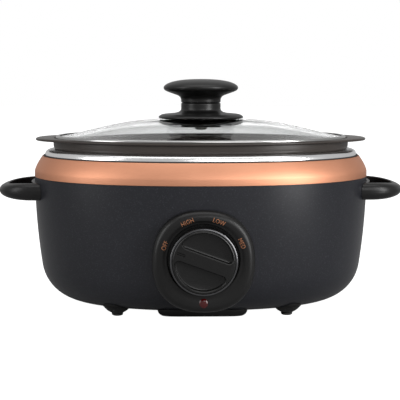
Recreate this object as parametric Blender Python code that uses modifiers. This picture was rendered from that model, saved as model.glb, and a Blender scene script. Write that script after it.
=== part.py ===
"""An oval sear-and-stew slow cooker, as separate pieces at real size.

Metres, +Z up, the front (control knob) faces -Y, and the floor is z = 0. Every piece is placed
about the middle of the oval body and hangs on one empty, which centres the whole object on the origin.
"""

import math

import bmesh
import bpy
from mathutils import Matrix

# Fits
GAP = 0.0003              # between two pieces that touch
SCREW_PLAY = 0.0003       # round a screw or shaft in its hole, each side
POT_PLAY = 0.0015         # between the pot's wall and the well, each side

# Body: an oval drum with a slightly barrelled wall and a rounded bottom corner
OVAL_POWER = 2.15
BODY_HALF_WIDTH = 0.1568
BODY_HALF_DEPTH = 0.112
BODY_BOTTOM = 0.006
BODY_TOP = 0.1225
BODY_BARREL = 0.580       # radius of the wall's long vertical curve
BODY_CORNER = 0.039
BODY_WALL = 0.0016
BODY_FLANGE = 0.058       # inset of the turned-in bottom flange's inner edge

# Copper band
BAND_HEIGHT = 0.0189
BAND_STRAIGHT = 0.0048    # height of its upright part
BAND_SHOULDER = 0.0071    # how far its shoulder leans in
BAND_LEAN = 1.4           # how late the shoulder leans in: 1 would be a plain slope
BAND_LIP_PLAY = 0.0004    # between the lip and the body's inside
BAND_SHELF = 0.0080       # width of its flat top
BAND_METAL = 0.0012
BAND_LIP = 0.0085         # depth of the lip inside the body

# Heating well
WELL_INSET = 0.0204
WELL_METAL = 0.0012
WELL_DRAFT = 0.0056
WELL_CORNER = 0.022
WELL_FLOOR = 0.057
WELL_RIM_HEIGHT = 0.0058  # flared rim above the band's shelf
WELL_RIM_FLARE = 0.0108   # how far the rim flares out

# Cooking pot
POT_WALL = 0.0025
POT_UNDER = 0.0010        # air between the pot and the well's floor
POT_SKIRT = 0.0106        # height of the shoulder above the well
POT_SKIRT_OUT = 0.0042    # how far the shoulder stands out over the well's lip
POT_RIM_THICK = 0.0030
POT_RIM_OUT = 0.0032
POT_LEDGE_DEPTH = 0.0028
POT_LEDGE_WIDTH = 0.0050
EAR_HALF_WIDTH = 0.1557
EAR_HALF_DEPTH = 0.074
EAR_POWER = 2.4
EAR_THICK = 0.0022

# Lid
LID_PLAY = 0.0014         # between the lid's trim and the pot's ledge, each side
TRIM_HEIGHT = 0.0042
TRIM_WIDTH = 0.0038
TRIM_METAL = 0.0005
GLASS_RISE = 0.0161
GLASS_THICK = 0.0040
GLASS_BORE = 0.0034
DOME_SEAT = 0.20          # share of the dome that is flat, under the knob
DOME_SWELL = 2.3          # how long the dome stays high
DOME_BRIM = 1.5           # how softly it runs out into its brim

# Lid knob
LID_BASE_RADIUS = 0.0402
LID_BASE_HEIGHT = 0.0147
LID_NECK_RADIUS = 0.0187
LID_GRIP_RADIUS = 0.0352
LID_GRIP_HEIGHT = 0.0221
LID_SCREW_RADIUS = 0.0025
LID_SCREW_REACH = 0.0120  # how far the screw enters the grip
LID_WASHER_RADIUS = 0.0190
LID_WASHER_THICK = 0.0018

# Control panel
PANEL_HALF_WIDTH = 0.0442
PANEL_HALF_HEIGHT = 0.0440
PANEL_POWER = 2.3
PANEL_HEIGHT = 0.0584     # of its middle above the floor
PANEL_FRONT = 0.122
PANEL_WALL = 0.0022
PANEL_FLOOR = 0.0030
DIAL_HEIGHT = 0.0605
DIAL_RECESS_RADIUS = 0.0307
DIAL_RECESS_DEPTH = 0.0065
DIAL_RADIUS = 0.0284
DIAL_REACH = 0.0185       # depth of the knob from the recess floor
DIAL_POCKET_DEPTH = 0.0055
DIAL_BAR = 0.0117
DIAL_OFF_ANGLE = math.radians(160)
LENS_HEIGHT = 0.0230
LENS_RADIUS = 0.0045
LENS_LIP = 0.0006
LAMP_BACK = 0.1030
PANEL_SCREW_X = 0.033
PANEL_SCREW_RADIUS = 0.0015
FRONT_FOOT_HALF_WIDTH = 0.0405
FRONT_PEG_X = 0.026
FRONT_PEG_Y = 0.0705
FRONT_FOOT_HALF_DEPTH = 0.0115

# Rotary switch
SWITCH_SIDE = 0.034
SWITCH_DEPTH = 0.018
SWITCH_HOLE = 0.026
SHAFT_RADIUS = 0.003
BUSH_RADIUS = 0.005

# Side handles
HANDLE_REACH = 0.190
HANDLE_HALF_SPAN = 0.044
HANDLE_BAR = 0.0085
HANDLE_LOW = 0.1020
HANDLE_THICK = 0.0160
HANDLE_PLATE = 0.0028
HANDLE_ROOT = 0.150
HANDLE_SCREW_Y = 0.0380
HANDLE_SCREW_RADIUS = 0.0017
HANDLE_HEAD_CLEAR = 0.0027  # between the leaning wall and a screw's head, on its axis
HANDLE_POWER = 2.6
HANDLE_NOSE = 0.008       # out from its root where it starts to thin
HANDLE_TAPER = 0.40       # share of its height lost at its nose
# Its section as (shrink of its plan, share of its height): a crowned top and rounded sides
HANDLE_SECTION = ((0.030, 0.0), (0.012, 0.0), (0.0055, 0.02), (0.0016, 0.15), (0.0, 0.40),
                  (0.0, 0.60), (0.0016, 0.85), (0.0055, 0.98), (0.012, 1.0), (0.030, 1.0))

# Feet and fasteners underneath
FOOT_X = 0.077
FOOT_Y = 0.060
FOOT_RADIUS = 0.0062
FOOT_BOSS = 0.0145
PAD_HEIGHT = 0.0022
PEG_RADIUS = 0.003
PLATE_THICK = 0.0025
PLATE_INSET = 0.046
PLATE_SCREW_INSET = 0.051
PLATE_SCREW_RADIUS = 0.0017
PLATE_SCREW_TURNS = (38, 142, 218, 322)

# Heating and wiring inside
HEATER_LOW = 0.080
HEATER_HIGH = 0.132
HEATER_METAL = 0.0012
WRAP_LOW = 0.092
WRAP_THICK = 0.0055
HEATPLATE_HALF_WIDTH = 0.095
HEATPLATE_HALF_DEPTH = 0.050
HEATPLATE_THICK = 0.006
REFLECTOR_INSET = 0.040
REFLECTOR_HEIGHT = 0.036
REFLECTOR_WALL = 0.010
STUD_RADIUS = 0.003
TERMINAL_Y = 0.042
TERMINAL_SIZE = (0.036, 0.016, 0.012)
EARTH_SPOT = (0.040, 0.044)
GLAND_HEIGHT = 0.030
GLAND_REACH = 0.116
GLAND_RADIUS = 0.0062
LEAD_RADIUS = 0.0012

OVAL_SEGMENTS = 32
ROUND_SEGMENTS = 16
MERGE = 0.00001

SIDES = (("left", -1), ("right", 1))
ENDS = (("front", -1), ("back", 1))
HANDLE_MIDDLE = HANDLE_LOW + HANDLE_THICK / 2
FRONT_REACH = PANEL_FRONT - DIAL_RECESS_DEPTH + GAP + DIAL_REACH
CENTRE_SHIFT = (FRONT_REACH - GLAND_REACH) / 2
FACING_FRONT = (math.radians(90), 0, 0)
FACING_BACK = (math.radians(-90), 0, 0)

BAND_BOTTOM = BODY_TOP + GAP
BAND_TOP = BAND_BOTTOM + BAND_HEIGHT
WELL_TOP = BAND_TOP + GAP + WELL_RIM_HEIGHT
POT_INSET = WELL_INSET + POT_PLAY
POT_SEAT = WELL_TOP + GAP
POT_RIM_LOW = POT_SEAT + POT_SKIRT - POT_RIM_THICK
POT_TOP = POT_SEAT + POT_SKIRT
SKIRT_INSET = POT_INSET - POT_SKIRT_OUT
LEDGE_HEIGHT = POT_TOP - POT_LEDGE_DEPTH
LEDGE_INSET = SKIRT_INSET + 0.0007
TRIM_INSET = LEDGE_INSET + LID_PLAY
TRIM_BOTTOM = LEDGE_HEIGHT + GAP
TRIM_TOP = TRIM_BOTTOM + TRIM_HEIGHT
GLASS_EDGE_TOP = TRIM_TOP - TRIM_METAL - GAP
GLASS_EDGE_LOW = TRIM_BOTTOM + TRIM_METAL + GAP
DOME_INSET = TRIM_INSET + TRIM_WIDTH + 0.001
GLASS_TOP = GLASS_EDGE_TOP + GLASS_RISE
LID_BASE_BOTTOM = GLASS_TOP + GAP
LID_GRIP_BOTTOM = LID_BASE_BOTTOM + LID_BASE_HEIGHT + GAP
PANEL_BACK = PANEL_FRONT - DIAL_RECESS_DEPTH - PANEL_FLOOR
FOOT_BOTTOM = PAD_HEIGHT + GAP
PLATE_BOTTOM = BODY_BOTTOM + BODY_WALL + GAP
PLATE_TOP = PLATE_BOTTOM + PLATE_THICK
HEATPLATE_TOP = WELL_FLOOR - WELL_METAL - GAP
HEATPLATE_BOTTOM = HEATPLATE_TOP - HEATPLATE_THICK


def new_collection(name, hidden=False):
    group = bpy.data.collections.new(name)
    bpy.context.scene.collection.children.link(group)
    group.hide_render = hidden
    return group


def finish(name, colour, roughness, metallic=0.0, transmission=0.0):
    material = bpy.data.materials.new(name)
    material.use_nodes = True
    shader = material.node_tree.nodes["Principled BSDF"]
    shader.inputs["Base Color"].default_value = (*colour, 1.0)
    shader.inputs["Roughness"].default_value = roughness
    shader.inputs["Metallic"].default_value = metallic
    shader.inputs["Transmission Weight"].default_value = transmission
    material.diffuse_color = (*colour, 1.0)
    return material


def place(name, data, group, place_at=(0, 0, 0), turn=(0, 0, 0)):
    obj = bpy.data.objects.new(name, data)
    group.objects.link(obj)
    obj.parent = FRAME
    obj.location = place_at
    obj.rotation_euler = turn
    return obj


def add_part(name, data, material, place_at=(0, 0, 0), turn=(0, 0, 0)):
    data.materials.append(material)
    return place(name, data, PARTS, place_at, turn)


def add_cutter(name, data, place_at=(0, 0, 0), turn=(0, 0, 0)):
    cutter = place(name, data, CUTTERS, place_at, turn)
    cutter.hide_render = True
    cutter.display_type = "WIRE"
    return cutter


def combine(obj, operation, *others):
    for other in others:
        step = obj.modifiers.new(other.name, "BOOLEAN")
        step.operation = operation
        step.solver = "EXACT"
        step.object = other


def mesh_from(built, name, smooth=True):
    mesh = bpy.data.meshes.new(name)
    built.to_mesh(mesh)
    built.free()
    if smooth:
        mesh.shade_smooth()
        mesh.set_sharp_from_angle(angle=math.radians(35))
    return mesh


def oval(half_x, half_y, height, power=OVAL_POWER, lift=0.0, segments=OVAL_SEGMENTS):
    """One level superellipse ring; lift moves it along Y."""
    points = []
    for step in range(segments):
        turn = 2 * math.pi * step / segments
        cosine, sine = math.cos(turn), math.sin(turn)
        x = half_x * math.copysign(abs(cosine) ** (2 / power), cosine)
        y = half_y * math.copysign(abs(sine) ** (2 / power), sine)
        points.append((x, y + lift, height))
    return points


def inset(distance, height):
    """The body's oval moved inwards all round, so it isn't a scaled copy of it."""
    return oval(BODY_HALF_WIDTH - distance, BODY_HALF_DEPTH - distance, height)


def loft(name, rings, closed=False):
    """Skins rings of equal count; the ends are capped, or a closed one joins its last ring to its first."""
    built = bmesh.new()
    loops = [[built.verts.new(point) for point in ring] for ring in rings]
    pairs = list(zip(loops, loops[1:]))
    if closed:
        pairs.append((loops[-1], loops[0]))
    else:
        built.faces.new(loops[0])
        built.faces.new(loops[-1])
    for low, high in pairs:
        for step in range(len(low)):
            built.faces.new((low[step], low[step - 1], high[step - 1], high[step]))
    bmesh.ops.recalc_face_normals(built, faces=built.faces)
    return mesh_from(built, name)


def turned(name, outline, hollow=False):
    """The profile (radius, height) of a turned piece, down its side and, if hollow, up its bore."""
    mesh = bpy.data.meshes.new(name)
    edges = [(step, step + 1) for step in range(len(outline) - 1)]
    if hollow:
        edges.append((len(outline) - 1, 0))
    mesh.from_pydata([(radius, 0, height) for radius, height in outline], edges, [])
    return mesh


def turn_it(obj, segments=ROUND_SEGMENTS):
    screw = obj.modifiers.new("Turn", "SCREW")
    screw.steps = screw.render_steps = segments
    screw.use_merge_vertices = True
    screw.merge_threshold = MERGE
    screw.use_smooth_shade = True


def add_turned(name, outline, material, place_at=(0, 0, 0), turn=(0, 0, 0), hollow=False,
               segments=ROUND_SEGMENTS):
    obj = add_part(name, turned(name, outline, hollow), material, place_at, turn)
    turn_it(obj, segments)
    return obj


def block(name, size, bevel=0.0):
    built = bmesh.new()
    bmesh.ops.create_cube(built, size=1.0)
    bmesh.ops.scale(built, vec=size, verts=built.verts)
    if bevel:
        bmesh.ops.bevel(built, geom=built.edges[:], offset=bevel, segments=2, profile=0.5,
                        affect="EDGES")
    return mesh_from(built, name, smooth=False)


def rod(name, radius, low, high, segments=ROUND_SEGMENTS, squash=1.0):
    """A cylinder along Z between two heights."""
    built = bmesh.new()
    middle = Matrix.Translation((0, 0, (low + high) / 2)) @ Matrix.Diagonal((1, squash, 1, 1))
    bmesh.ops.create_cone(built, cap_ends=True, segments=segments, radius1=radius, radius2=radius,
                          depth=high - low, matrix=middle)
    return mesh_from(built, name)


def body_side(offset, wall_steps=2, corner_steps=4):
    """(inset, height) down the body's side, moved inwards by offset: the barrelled wall, then its corner."""
    lean = math.asin((BODY_TOP - BODY_BOTTOM - BODY_CORNER) / (BODY_BARREL - BODY_CORNER))
    corner_inset = BODY_BARREL - (BODY_BARREL - BODY_CORNER) * math.cos(lean)
    corner_height = BODY_BOTTOM + BODY_CORNER
    points = []
    for step in range(wall_steps):
        turn = lean * step / wall_steps
        points.append((BODY_BARREL - (BODY_BARREL - offset) * math.cos(turn),
                       BODY_TOP - (BODY_BARREL - offset) * math.sin(turn)))
    for step in range(corner_steps + 1):
        turn = lean + (math.pi / 2 - lean) * step / corner_steps
        points.append((corner_inset - (BODY_CORNER - offset) * math.cos(turn),
                       corner_height - (BODY_CORNER - offset) * math.sin(turn)))
    return points


def body_reach(height, across, offset=0.0):
    """How far the body's wall is from its middle along Y, at a height and a place across X."""
    distance = min(body_side(offset, 40, 40), key=lambda point: abs(point[1] - height))[0]
    share = abs(across) / (BODY_HALF_WIDTH - distance)
    return (BODY_HALF_DEPTH - distance) * (1 - share ** OVAL_POWER) ** (1 / OVAL_POWER)


def side_reach(height, along):
    """How far the body's outside is from its middle along X, at a height and a place along Y."""
    distance = min(body_side(0.0, 40, 40), key=lambda point: abs(point[1] - height))[0]
    share = abs(along) / (BODY_HALF_DEPTH - distance)
    return (BODY_HALF_WIDTH - distance) * (1 - share ** OVAL_POWER) ** (1 / OVAL_POWER)


def envelope(name, offset):
    """The body's outside grown by offset, as a cutter for what sits on it."""
    rings = [inset(-offset, BODY_TOP + 0.03)]
    rings += [inset(distance, height) for distance, height in body_side(-offset)]
    return add_cutter(name, loft(name, rings))


def vessel(top_inset, top, draft, corner, floor, steps=3):
    """(inset, height) up one side of a drafted vessel, from the edge of its floor to its top."""
    centre = top_inset + draft + corner
    points = []
    for step in range(steps + 1):
        turn = math.pi / 2 * step / steps
        points.append((centre - corner * math.sin(turn), floor + corner - corner * math.cos(turn)))
    points.append((top_inset, top))
    return points


def well_outside(height):
    """Inset of the well's outer wall at a height on its drafted part."""
    share = (WELL_TOP - height) / (WELL_TOP - WELL_FLOOR - WELL_CORNER)
    return WELL_INSET - WELL_METAL + WELL_DRAFT * share


def tube(name, points, radius, material):
    """A round wire through the points."""
    curve = bpy.data.curves.new(name, "CURVE")
    curve.dimensions = "3D"
    curve.bevel_depth = radius
    curve.bevel_resolution = 2
    curve.use_fill_caps = True
    spline = curve.splines.new("POLY")
    spline.points.add(len(points) - 1)
    for spot, point in zip(spline.points, points):
        spot.co = (*point, 1)
    return add_part(name, curve, material)


def rounded_route(route, steps=3):
    """Points along a smooth curve through the route, as a Catmull-Rom chain."""
    ends = [route[0], *route, route[-1]]
    points = []
    for before, start, end, after in zip(ends, ends[1:], ends[2:], ends[3:]):
        for step in range(steps):
            share = step / steps
            points.append(tuple(
                0.5 * (2 * b + (c - a) * share + (2 * a - 5 * b + 4 * c - d) * share ** 2
                       + (3 * b - a - 3 * c + d) * share ** 3)
                for a, b, c, d in zip(before, start, end, after)))
    points.append(route[-1])
    return points


def drill(obj, name, radius, low, high, at, turn=(0, 0, 0), segments=ROUND_SEGMENTS):
    """Cuts a round hole along the turned Z axis, with screw play all round."""
    cutter = add_cutter(name, rod(name, radius + SCREW_PLAY, low, high, segments), at, turn)
    combine(obj, "DIFFERENCE", cutter)
    return cutter


def outer_shell():
    flange = [(BODY_FLANGE, BODY_BOTTOM), (BODY_FLANGE, BODY_BOTTOM + BODY_WALL)]
    rings = [inset(*point) for point in body_side(0.0) + flange + body_side(BODY_WALL)[::-1]]
    shell = add_part("outer_shell", loft("outer_shell", rings, closed=True), CHARCOAL)
    drill(shell, "switch_hole", SWITCH_HOLE, 0.085, PANEL_FRONT, (0, 0, DIAL_HEIGHT), FACING_FRONT)
    drill(shell, "gland_hole", GLAND_RADIUS, 0.08, 0.13, (0, 0, GLAND_HEIGHT), FACING_BACK)
    for side, x in SIDES:
        at = (x * PANEL_SCREW_X, 0, DIAL_HEIGHT)
        drill(shell, f"panel_screw_hole_{side}", PANEL_SCREW_RADIUS, 0.09, 0.12, at, FACING_FRONT, 12)
        at = (x * FRONT_PEG_X, -FRONT_PEG_Y, 0)
        drill(shell, f"front_foot_hole_{side}", PEG_RADIUS, 0, 0.03, at)
        for end, y in ENDS:
            name = f"handle_screw_hole_{side}_{end}"
            at = (x * side_reach(HANDLE_MIDDLE, HANDLE_SCREW_Y), y * HANDLE_SCREW_Y, HANDLE_MIDDLE)
            drill(shell, name, HANDLE_SCREW_RADIUS, -0.02, 0.02, at, (0, math.radians(90), 0), 12)
            drill(shell, f"foot_hole_{side}_{end}", PEG_RADIUS, 0, 0.04, (x * FOOT_X, y * FOOT_Y, 0))
    for number, (x, y) in enumerate(plate_screw_spots(), 1):
        name = f"plate_screw_hole_{number}"
        PLATE_HOLES.append(drill(shell, name, PLATE_SCREW_RADIUS, 0, 0.02, (x, y, 0), segments=12))


def rim_band():
    lip_out = BODY_WALL + BAND_LIP_PLAY
    lip_in = lip_out + BAND_METAL
    rise = BAND_HEIGHT - BAND_STRAIGHT
    shoulder = BAND_BOTTOM + BAND_STRAIGHT
    shelf = BAND_SHOULDER + BAND_SHELF
    outside = [(0.0, BAND_BOTTOM)]
    inside = []
    steps = 3
    for step in range(steps + 1):
        share = step / steps
        lean = BAND_SHOULDER * share ** BAND_LEAN
        outside.append((lean, shoulder + rise * share))
        inside.append((max(lip_in, lean + BAND_METAL), shoulder + (rise - BAND_METAL) * share))
    outside += [(shelf, BAND_TOP), (shelf, BAND_TOP - BAND_METAL)]
    lip_end = BAND_BOTTOM - BAND_LIP
    lip = [(lip_in, lip_end), (lip_out, lip_end), (lip_out, BAND_BOTTOM)]
    rings = [inset(*point) for point in outside + inside[::-1] + lip]
    add_part("rim_band", loft("rim_band", rings, closed=True), COPPER)


def heating_well():
    inside = vessel(WELL_INSET, WELL_TOP - 0.0006, WELL_DRAFT, WELL_CORNER, WELL_FLOOR)
    outside = vessel(WELL_INSET - WELL_METAL, WELL_TOP - 0.003, WELL_DRAFT,
                     WELL_CORNER + WELL_METAL, WELL_FLOOR - WELL_METAL)
    low = BAND_TOP + GAP
    edge = WELL_INSET - WELL_RIM_FLARE
    rim = [(WELL_INSET - 0.0005, WELL_TOP), (WELL_INSET - 0.0036, WELL_TOP),
           (edge + 0.0028, WELL_TOP - 0.0007),
           (edge + 0.0008, WELL_TOP - 0.0026), (edge, low), (edge + WELL_METAL, low),
           (edge + 0.0022, WELL_TOP - 0.0034), (edge + 0.0038, WELL_TOP - 0.0019),
           (WELL_INSET - 0.0038, WELL_TOP - WELL_METAL)]
    rings = [inset(*point) for point in inside + rim + outside[::-1]]
    add_part("heating_well", loft("heating_well", rings), STEEL)


def ear_plate():
    """The two wing ears as one plate round the pot's mouth, open in its middle."""
    low = POT_RIM_LOW + (POT_RIM_THICK - EAR_THICK) / 2
    high = low + EAR_THICK
    inner = SKIRT_INSET + 0.0003
    rings = [oval(EAR_HALF_WIDTH, EAR_HALF_DEPTH, height, EAR_POWER) for height in (low, high)]
    plate = add_cutter("ear_plate", loft("ear_plate", rings))
    rings = [inset(inner, height) for height in (low - EAR_THICK, high + EAR_THICK)]
    hole = add_cutter("ear_middle", loft("ear_middle", rings))
    combine(plate, "DIFFERENCE", hole)
    return plate


def cooking_pot():
    inside = vessel(POT_INSET + POT_WALL, LEDGE_HEIGHT - 0.002, WELL_DRAFT,
                    WELL_CORNER - POT_PLAY - POT_WALL,
                    WELL_FLOOR + POT_UNDER + POT_WALL)
    outside = vessel(POT_INSET, POT_SEAT, WELL_DRAFT, WELL_CORNER - POT_PLAY, WELL_FLOOR + POT_UNDER)
    rim_out = SKIRT_INSET - POT_RIM_OUT
    ledge_in = LEDGE_INSET + POT_LEDGE_WIDTH
    rim = [(ledge_in, LEDGE_HEIGHT), (LEDGE_INSET, LEDGE_HEIGHT), (LEDGE_INSET - 0.0002, POT_TOP - 0.0005),
           (LEDGE_INSET - 0.001, POT_TOP), (rim_out + 0.0008, POT_TOP), (rim_out, POT_TOP - 0.0008),
           (rim_out, POT_RIM_LOW + 0.0008), (rim_out + 0.0008, POT_RIM_LOW), (SKIRT_INSET, POT_RIM_LOW),
           (SKIRT_INSET, POT_SEAT)]
    rings = [inset(*point) for point in inside + rim + outside[::-1]]
    pot = add_part("cooking_pot", loft("cooking_pot", rings), NONSTICK)
    combine(pot, "UNION", ear_plate())


def dome(height_at_edge, rise, shrink, steps=4):
    """Rings from the flat seat in the middle of the lid's dome out to its edge."""
    rings = []
    half_x = BODY_HALF_WIDTH - DOME_INSET - shrink
    half_y = BODY_HALF_DEPTH - DOME_INSET - shrink
    for step in range(steps + 1):
        out = step / steps
        share = DOME_SEAT + (1 - DOME_SEAT) * out
        height = height_at_edge + rise * (1 - out ** DOME_SWELL) ** DOME_BRIM
        rings.append(oval(half_x * share, half_y * share, height))
    return rings


def lid_glass():
    edge = TRIM_INSET + TRIM_METAL + GAP
    top = dome(GLASS_EDGE_TOP, GLASS_RISE, 0.0)
    under = dome(GLASS_EDGE_LOW, GLASS_TOP - GLASS_THICK - GLASS_EDGE_LOW, 0.001)
    rings = top + [inset(edge, GLASS_EDGE_TOP), inset(edge, GLASS_EDGE_LOW)] + under[::-1]
    glass = add_part("lid_glass", loft("lid_glass", rings), GLASS)
    combine(glass, "DIFFERENCE", add_cutter("glass_bore", rod("glass_bore", GLASS_BORE, 0.16, 0.19)))


def lid_rim():
    inner = TRIM_INSET + TRIM_WIDTH
    web = TRIM_INSET + TRIM_METAL
    outline = [(TRIM_INSET, TRIM_BOTTOM), (TRIM_INSET, TRIM_TOP), (inner, TRIM_TOP),
               (inner, TRIM_TOP - TRIM_METAL),
               (web, TRIM_TOP - TRIM_METAL), (web, TRIM_BOTTOM + TRIM_METAL),
               (inner, TRIM_BOTTOM + TRIM_METAL),
               (inner, TRIM_BOTTOM)]
    add_part("lid_rim", loft("lid_rim", [inset(*point) for point in outline], closed=True), STEEL)


def lid_knob():
    low, neck = LID_BASE_BOTTOM, LID_NECK_RADIUS
    top = low + LID_BASE_HEIGHT
    bore = LID_SCREW_RADIUS + SCREW_PLAY
    reach = LID_BASE_RADIUS
    base = [(neck - 0.0006, top), (neck, top - 0.0008), (neck, top - 0.0060), (neck + 0.0016, top - 0.0080),
            (neck + 0.0060, top - 0.0094), (reach - 0.0047, top - 0.0105), (reach - 0.0012, top - 0.0119),
            (reach, top - 0.0132), (reach - 0.0008, low + 0.0004), (reach - 0.0022, low), (bore, low),
            (bore, top)]
    add_turned("lid_knob_base", base, BLACK, hollow=True)
    low = LID_GRIP_BOTTOM
    top = low + LID_GRIP_HEIGHT
    reach = LID_GRIP_RADIUS
    bore_end = low + LID_SCREW_REACH + 0.001
    grip = [(0, top), (reach * 0.48, top - 0.0008), (reach * 0.83, top - 0.0032),
            (reach - 0.0010, top - 0.0060),
            (reach, top - 0.0083), (reach - 0.0019, top - 0.0110), (reach - 0.0094, top - 0.0139),
            (neck + 0.0023, top - 0.0158), (neck + 0.0003, top - 0.0185), (neck, low + 0.0008),
            (neck - 0.0006, low), (bore, low), (bore, bore_end), (0, bore_end)]
    add_turned("lid_knob_grip", grip, BLACK)
    under = GLASS_TOP - GLASS_THICK - GAP
    washer_low = under - LID_WASHER_THICK
    washer = [(LID_WASHER_RADIUS - 0.0005, under), (LID_WASHER_RADIUS, under - 0.0005),
              (LID_WASHER_RADIUS, washer_low), (bore, washer_low), (bore, under)]
    add_turned("lid_washer", washer, BLACK, hollow=True)
    head = washer_low - GAP
    screw = [(0, low + LID_SCREW_REACH), (LID_SCREW_RADIUS, low + LID_SCREW_REACH - 0.0006),
             (LID_SCREW_RADIUS, head),
             (0.006, head), (0.006, head - 0.0012), (0.0042, head - 0.0028), (0, head - 0.0031)]
    add_turned("lid_screw", screw, STEEL, segments=16)


def control_bezel():
    recess = PANEL_FRONT - DIAL_RECESS_DEPTH
    lift = PANEL_HEIGHT
    wide, tall = PANEL_HALF_WIDTH, PANEL_HALF_HEIGHT

    def panel_ring(shrink, forward, power=PANEL_POWER):
        return oval(wide - shrink, tall - shrink, forward, power, lift)

    def round_ring(radius, forward):
        return oval(radius, radius, forward, 2.0, DIAL_HEIGHT)

    rings = [panel_ring(0, 0.060), panel_ring(0, PANEL_FRONT - 0.0060),
             panel_ring(0.0010, PANEL_FRONT - 0.0025),
             panel_ring(0.0035, PANEL_FRONT - 0.0005), panel_ring(0.0062, PANEL_FRONT),
             panel_ring(0.0090, PANEL_FRONT - 0.0006), round_ring(DIAL_RECESS_RADIUS + 0.0010,
                                                                  PANEL_FRONT - 0.0012),
             round_ring(DIAL_RECESS_RADIUS, PANEL_FRONT - 0.0022), round_ring(DIAL_RECESS_RADIUS, recess)]
    bezel = add_part("control_bezel", loft("control_bezel", rings), BLACK, turn=FACING_FRONT)
    hollow = [panel_ring(PANEL_WALL, 0.050), panel_ring(PANEL_WALL, PANEL_BACK)]
    combine(bezel, "DIFFERENCE", add_cutter("bezel_hollow", loft("bezel_hollow", hollow), turn=FACING_FRONT))
    for side, x in SIDES:
        name = f"bezel_boss_{side}"
        boss = add_cutter(name, rod(name, 0.0038, 0.09, PANEL_BACK + 0.001, 16),
                          (x * PANEL_SCREW_X, 0, DIAL_HEIGHT), FACING_FRONT)
        combine(bezel, "UNION", boss)
    combine(bezel, "DIFFERENCE", envelope("body_for_bezel", GAP))
    for side, x in SIDES:
        name = f"bezel_pilot_{side}"
        pilot = rod(name, PANEL_SCREW_RADIUS + SCREW_PLAY, 0.09, PANEL_BACK + 0.0005, 12)
        combine(bezel, "DIFFERENCE", add_cutter(name, pilot, (x * PANEL_SCREW_X, 0, DIAL_HEIGHT),
                                                FACING_FRONT))
    combine(bezel, "DIFFERENCE",
            add_cutter("bush_hole", rod("bush_hole", BUSH_RADIUS + SCREW_PLAY, 0.10, 0.13, 20),
                       (0, 0, DIAL_HEIGHT), FACING_FRONT),
            add_cutter("lens_hole", rod("lens_hole", LENS_RADIUS + SCREW_PLAY, 0.10, 0.13, 20),
                       (0, 0, LENS_HEIGHT), FACING_FRONT))


def panel_screws():
    for side, x in SIDES:
        inner = body_reach(DIAL_HEIGHT, PANEL_SCREW_X + 0.003, BODY_WALL) - 3 * GAP
        screw = [(0, PANEL_BACK - 0.0005), (PANEL_SCREW_RADIUS, PANEL_BACK - 0.0010),
                 (PANEL_SCREW_RADIUS, inner),
                 (0.003, inner), (0.003, inner - 0.0010), (0.0018, inner - 0.0018), (0, inner - 0.0020)]
        add_turned(f"panel_screw_{side}", screw, STEEL, (x * PANEL_SCREW_X, 0, DIAL_HEIGHT), FACING_FRONT,
                   segments=12)


def front_foot():
    """The black skid under the control panel, pegged to the body's front corner."""
    outline = [(0.0046, FOOT_BOTTOM), (0.0036, FOOT_BOTTOM + 0.0008), (0.0, BODY_BOTTOM + 0.001),
               (0.0, 0.020)]
    rings = [oval(FRONT_FOOT_HALF_WIDTH - shrink, FRONT_FOOT_HALF_DEPTH - shrink / 2, height, 5.0)
             for shrink, height in outline]
    foot = add_part("front_foot", loft("front_foot", rings), BLACK, (0, -FRONT_PEG_Y, 0))
    combine(foot, "DIFFERENCE", envelope("body_for_front_foot", GAP))
    for side, x in SIDES:
        name = f"front_foot_peg_{side}"
        combine(foot, "UNION", add_cutter(name, rod(name, PEG_RADIUS, 0.004, 0.019, 16),
                                          (x * FRONT_PEG_X, -FRONT_PEG_Y, 0)))


def indicator():
    back = PANEL_BACK - GAP
    front = PANEL_FRONT - 0.0008
    lens = [(0, front + 0.0016), (LENS_RADIUS * 0.6, front + 0.0011), (LENS_RADIUS, front - 0.0004),
            (LENS_RADIUS, back), (LENS_RADIUS + LENS_LIP, back), (LENS_RADIUS + LENS_LIP, back - 0.0012),
            (0, back - 0.0012)]
    add_turned("indicator_lens", lens, RED_LENS, (0, 0, LENS_HEIGHT), FACING_FRONT, segments=16)
    front = back - 0.0012 - GAP
    lamp = [(0, front), (0.0018, front - 0.0006), (0.0028, front - 0.0022), (0.0028, LAMP_BACK),
            (0, LAMP_BACK)]
    add_turned("indicator_lamp", lamp, GLASS, (0, 0, LENS_HEIGHT + 0.0015), FACING_FRONT, segments=12)


def rotary_switch():
    front = PANEL_BACK - GAP
    back = front - SWITCH_DEPTH
    switch = add_part("rotary_switch", block("rotary_switch", (SWITCH_SIDE, SWITCH_DEPTH, SWITCH_SIDE),
                                             0.001),
                      PHENOLIC, (0, -(front + back) / 2, DIAL_HEIGHT))
    bush_end = PANEL_FRONT - DIAL_RECESS_DEPTH + 0.0030
    bush = add_cutter("switch_bush", rod("switch_bush", BUSH_RADIUS, front - 0.002, bush_end, 20),
                      (0, 0, DIAL_HEIGHT), FACING_FRONT)
    bore = add_cutter("switch_bore", rod("switch_bore", SHAFT_RADIUS + SCREW_PLAY, back + 0.004,
                                         bush_end + 0.01, 20),
                      (0, 0, DIAL_HEIGHT), FACING_FRONT)
    combine(switch, "UNION", bush)
    combine(switch, "DIFFERENCE", bore)
    low = PANEL_FRONT - DIAL_RECESS_DEPTH + GAP
    nut = add_part("switch_nut", rod("switch_nut", 0.0078, low, low + 0.0024, 6), STEEL,
                   (0, 0, DIAL_HEIGHT), FACING_FRONT)
    combine(nut, "DIFFERENCE", add_cutter("nut_bore", rod("nut_bore", BUSH_RADIUS + SCREW_PLAY, 0.10, 0.13,
                                                          20),
                                          (0, 0, DIAL_HEIGHT), FACING_FRONT))


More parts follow.
